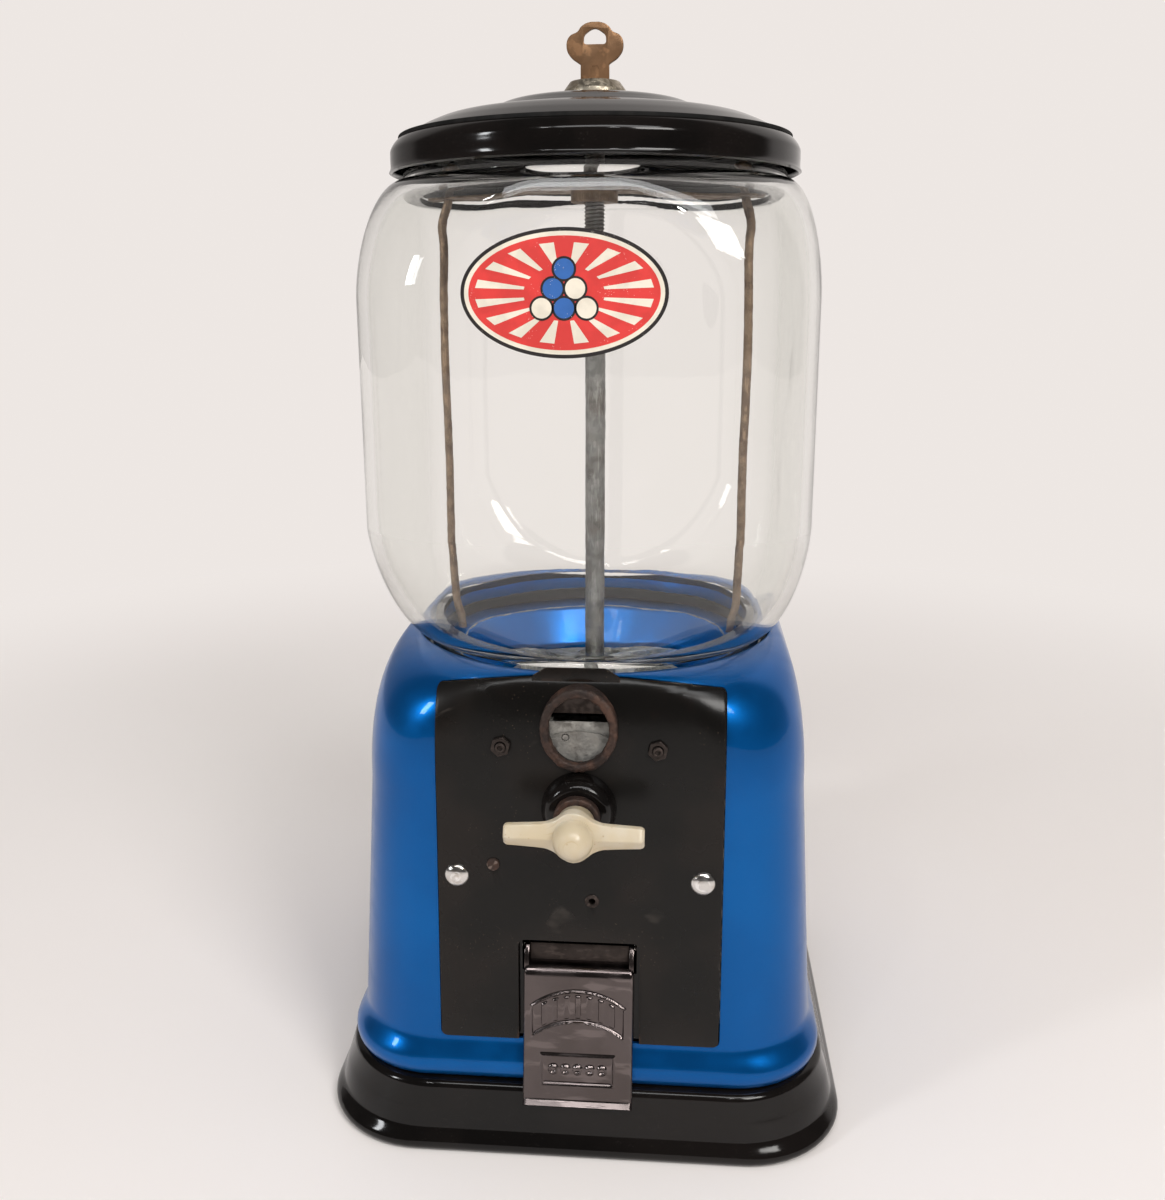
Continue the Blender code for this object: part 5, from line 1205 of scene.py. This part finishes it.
# %% Gaskets, hopper and wheel parts
seal = spun(filleted([(61.3, 174.5, 0.8), (63.1, 174.5, 0.8), (63.1, 171.0, 0.6),
                      (70.8, 171.0, 0.3), (70.8, 169.5, 0.3), (61.3, 169.5, 0.3)], True, 4),
            128, True)
finish_piece("foot_seal", seal, "dusty_rubber", ["lower_gasket"], sharp=50)
seal = spun(filleted([(66.5, 363.8, 0.4), (73.0, 363.8, 0.4), (73.0, 362.3, 0.4),
                      (66.5, 362.3, 0.4)], True, 4), 128, True)
finish_piece("neck_seal", seal, "dusty_rubber", ["upper_gasket"], "lid", sharp=50)
funnel = spun(filleted([(69.9, 168.0, 0), (55.0, 168.0, 4.0), (45.1, 152.0, 3.0),
                        (45.1, 142.2, 0)], steps=8), 128)
finish_piece("hopper_funnel", worked(funnel, [wall(SHEET)]), "blue_enamel", ["hopper"])
sleeve = spun(filleted([(4.2, 151.4, 0.3), (6.2, 151.4, 0.5), (6.2, 138.2, 0), (4.2, 138.2, 0)],
                       True, 3), 48, True)
finish_piece("wheel_sleeve", sleeve, "dull_steel", ["wheel_bushing"])
crown = (4.2, 157.7)
cap = spun([crown, *quarter(crown, (9.0, 151.9), 10, True), (9.0, 151.7), (4.2, 151.7)], 48,
           True)
finish_piece("wheel_cap", cap, "dull_steel", ["wheel_retainer"])

# %% Threaded rod: plain below, and each ring of its upper end a little in or out
ROD_FOOT, THREAD_FOOT, THREAD_TOP, ROD_TOP = 4.3, 326.0, 365.6, 366.0
ROD_RADIUS, ROD_BEVEL, THREAD_DEPTH, THREAD_PITCH = 3.9, 0.35, 0.60, 1.4
steps = math.ceil((THREAD_TOP - THREAD_FOOT) / THREAD_PITCH * 8)
threads = [THREAD_FOOT + THREAD_PITCH / 8 * step for step in range(steps)] + [THREAD_TOP]
rings = []
for height in (ROD_FOOT, 4.7, 40.0, 80.0, 120.0, 160.0, 200.0, 240.0, 280.0, 310.0, 325.0,
               *threads, ROD_TOP):
    ring = []
    for step in range(40):
        turn = math.tau * step / 40
        size = ROD_RADIUS - (ROD_BEVEL if height in (ROD_FOOT, ROD_TOP) else 0.0)
        if height in threads:
            wave = abs((height / THREAD_PITCH - step / 40) % 1.0 * 2 - 1)
            size -= THREAD_DEPTH * (1 - wave)
        ring.append((size * math.cos(turn), size * math.sin(turn), height))
    rings.append(ring)
finish_piece("threaded_rod", lofted(rings, True, True), "dull_steel", ["centre_rod"], sharp=50)

# %% Side rods: their bends are given as (share of the length, sway in radii)
ROD_SWAY = [(0.00, 0.0), (0.035, 0.1), (0.085, 0.9), (0.23, 1.0), (0.40, 0.9),
            (0.62, 1.2), (0.84, 1.0), (0.90, 1.4), (0.955, 0.2), (1.00, 0.0)]
SIDE_ROD_FOOT, SIDE_ROD_LENGTH, SIDE_ROD_RADIUS, SIDE_ROD_OUT = 169.5, 182.8, 1.8, 57.5
for side, word in ((-1, "left"), (1, "right")):
    points = [(side * (SIDE_ROD_OUT + sway * SIDE_ROD_RADIUS), 0.0,
               SIDE_ROD_FOOT + SIDE_ROD_LENGTH * share) for share, sway in ROD_SWAY]
    path = flowing(points, 6)
    for step in range(1, 11):
        turn = math.pi * 0.85 * step / 10
        path.append((points[-1][0] - side * 2.2 * (1 - math.cos(turn)), 0.0,
                     points[-1][2] + 1.9 * math.sin(turn)))
    rod = roughened(tube(path, SIDE_ROD_RADIUS - 0.05, 18), 6.0, 0.08, side * 7.0)
    finish_piece(word + "_side_rod", rod, "browned_steel", ["side_rod_" + word], sharp=50)

# %% Crossbar and its nut
half, wide, narrow = 65.5, 12.0, 4.5
shoulder = half * 0.35
outline = filleted([(half, -narrow, 2.2), (half, narrow, 2.2), (shoulder, wide, 12.0),
                    (-shoulder, wide, 12.0), (-half, narrow, 2.2), (-half, -narrow, 2.2),
                    (-shoulder, -wide, 12.0), (shoulder, -wide, 12.0)], True, 8)
holes = [circle(4.2, 32), circle(2.1, 20, -SIDE_ROD_OUT), circle(2.1, 20, SIDE_ROD_OUT)]
bar = raised(slab([outline, *holes], 1.5, 0.3, 2), 346.75)
finish_piece("top_bar", bar, "browned_steel", ["crossbar"], sharp=35)
hub = spun(filleted([(4.2, 346.1, 0), (8.8, 346.1, 0), (8.8, 341.5, 0.8), (4.2, 341.5, 0.4)],
                    True, 4), 48, True)
finish_piece("top_bar_hub", hub, "browned_steel", ["crossbar"], sharp=35)
nut = raised(slab([circle(9.5, 6), circle(4.2, 32)], 5.2, 0.5, 3), 350.4)
finish_piece("top_nut", nut, "rusty_steel", ["crossbar_nut"], sharp=35)

# %% [markdown]
# ## Lid, lock and key
# The lid is pressed in steps that a smooth line through its turning points gives back. The
# lock's nickel collar, its plug and the key stand on top.

# %% Lid and lock
LID_LINE = [(10.0, 377.5), (20.0, 377.5), (27.0, 377.1), (34.0, 375.8), (39.0, 373.6),
            (42.0, 372.4), (49.0, 371.3), (57.0, 369.9), (63.0, 367.6), (67.0, 365.6),
            (70.5, 363.7), (73.7, 361.9), (75.8, 359.0), (76.1, 356.4), (76.1, 352.6),
            (76.7, 351.0)]
lid = worked(spun(flowing(LID_LINE, 6), 144), [wall(SHEET)])
finish_piece("lid_cover", lid, "black_enamel", ["lid"], "lid", sharp=50)
collar = spun(filleted([(5.7, 384.0, 0.2), (9.2, 384.0, 0.8), (11.6, 380.8, 1.4),
                        (12.0, 377.7, 0.2), (9.5, 377.7, 0), (9.5, 360.8, 0.4),
                        (5.7, 360.8, 0.4)], True, 5), 72, True)
finish_piece("lock_collar", collar, "aged_nickel", ["lock_body"], "lid", sharp=40)
nut = raised(slab([circle(13.8, 6), circle(9.7, 48)], 4.2, 0.5, 3), 373.9)
finish_piece("lock_ring_nut", nut, "dull_steel", ["lock_nut"], "lid", sharp=35)

# %% Plug and key
plug_solid = spun([(0.0, 384.3), (5.1, 384.3), (5.4, 384.0), (5.4, 369.0), (0.0, 369.0)], 56)
keyway = raised(slab([oblong(4.3, -1.3, 1.3)], 16.0), 380.9)
finish_piece("key_plug", worked(plug_solid, cutters=[keyway]), "aged_nickel", ["lock_plug"],
             "plug", sharp=35)

BOW = [(0.50, 0.00), (0.62, 0.06), (0.80, 0.15), (0.96, 0.30), (1.00, 0.46), (0.96, 0.60),
       (0.84, 0.70), (0.66, 0.755), (0.58, 0.80), (0.50, 0.88), (0.34, 0.96), (0.14, 0.998)]
KEY_SEAT, BOW_FOOT, BOW_HEIGHT, BOW_HALF = 384.6, 390.0, 14.65, 10.5
right = [(3.0, 373.1), (4.0, 374.1), (4.0, KEY_SEAT), (5.3, KEY_SEAT), (5.3, BOW_FOOT - 1.0)]
right += [(BOW_HALF * x, BOW_FOOT + BOW_HEIGHT * y) for x, y in flowing(BOW, 4)]
outline = right + [(-x, y) for x, y in reversed(right)]
hole = filleted([(-4.2, 397.0, 1.2), (4.2, 397.0, 1.2), (4.0, 400.2, 2.4), (0.0, 403.0, 3.6),
                 (-4.0, 400.2, 2.4)], True, 6)
blank = moved(slab([outline, hole], 2.0, 0.28, 2), facing_front())
groove = [(-1.5, 372.0), (1.5, 372.0), (1.5, 388.6), (1.1, 389.6), (-1.1, 389.6), (-1.5, 388.6)]
cuts = [moved(slab([groove], 0.8), facing_front(side * 1.2)) for side in (-1, 1)]
finish_piece("key_blank", worked(blank, cutters=cuts), "dark_brass", ["key"], "key", sharp=35)

# %% [markdown]
# ## The mechanism keeps its own solids
# Plates, wheels, pins and the chute are right as they are, so they only get finishes.

# %% Finishes for the solids that stay
KEPT = {
    "black_enamel": ["chute"],
    "cast_alloy": ["hub_plate", "coin_wheel", "drive_pinion", "gumball_wheel",
                   "wheel_housing"],
    "polished_steel": ["cut_off_plate"],
    "dull_steel": ["rod_socket", "mounting_strip_left", "mounting_strip_right", "handle_shaft",
                   "hub_rivet", "ratchet_wheel", "pawl", "pawl_spring", "bearing_plate",
                   "housing_nut"],
}
for finish, names in KEPT.items():
    for name in names:
        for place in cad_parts[name].material_slots:
            place.material = finishes[finish]
print("kept solids:", sum(len(names) for names in KEPT.values()))
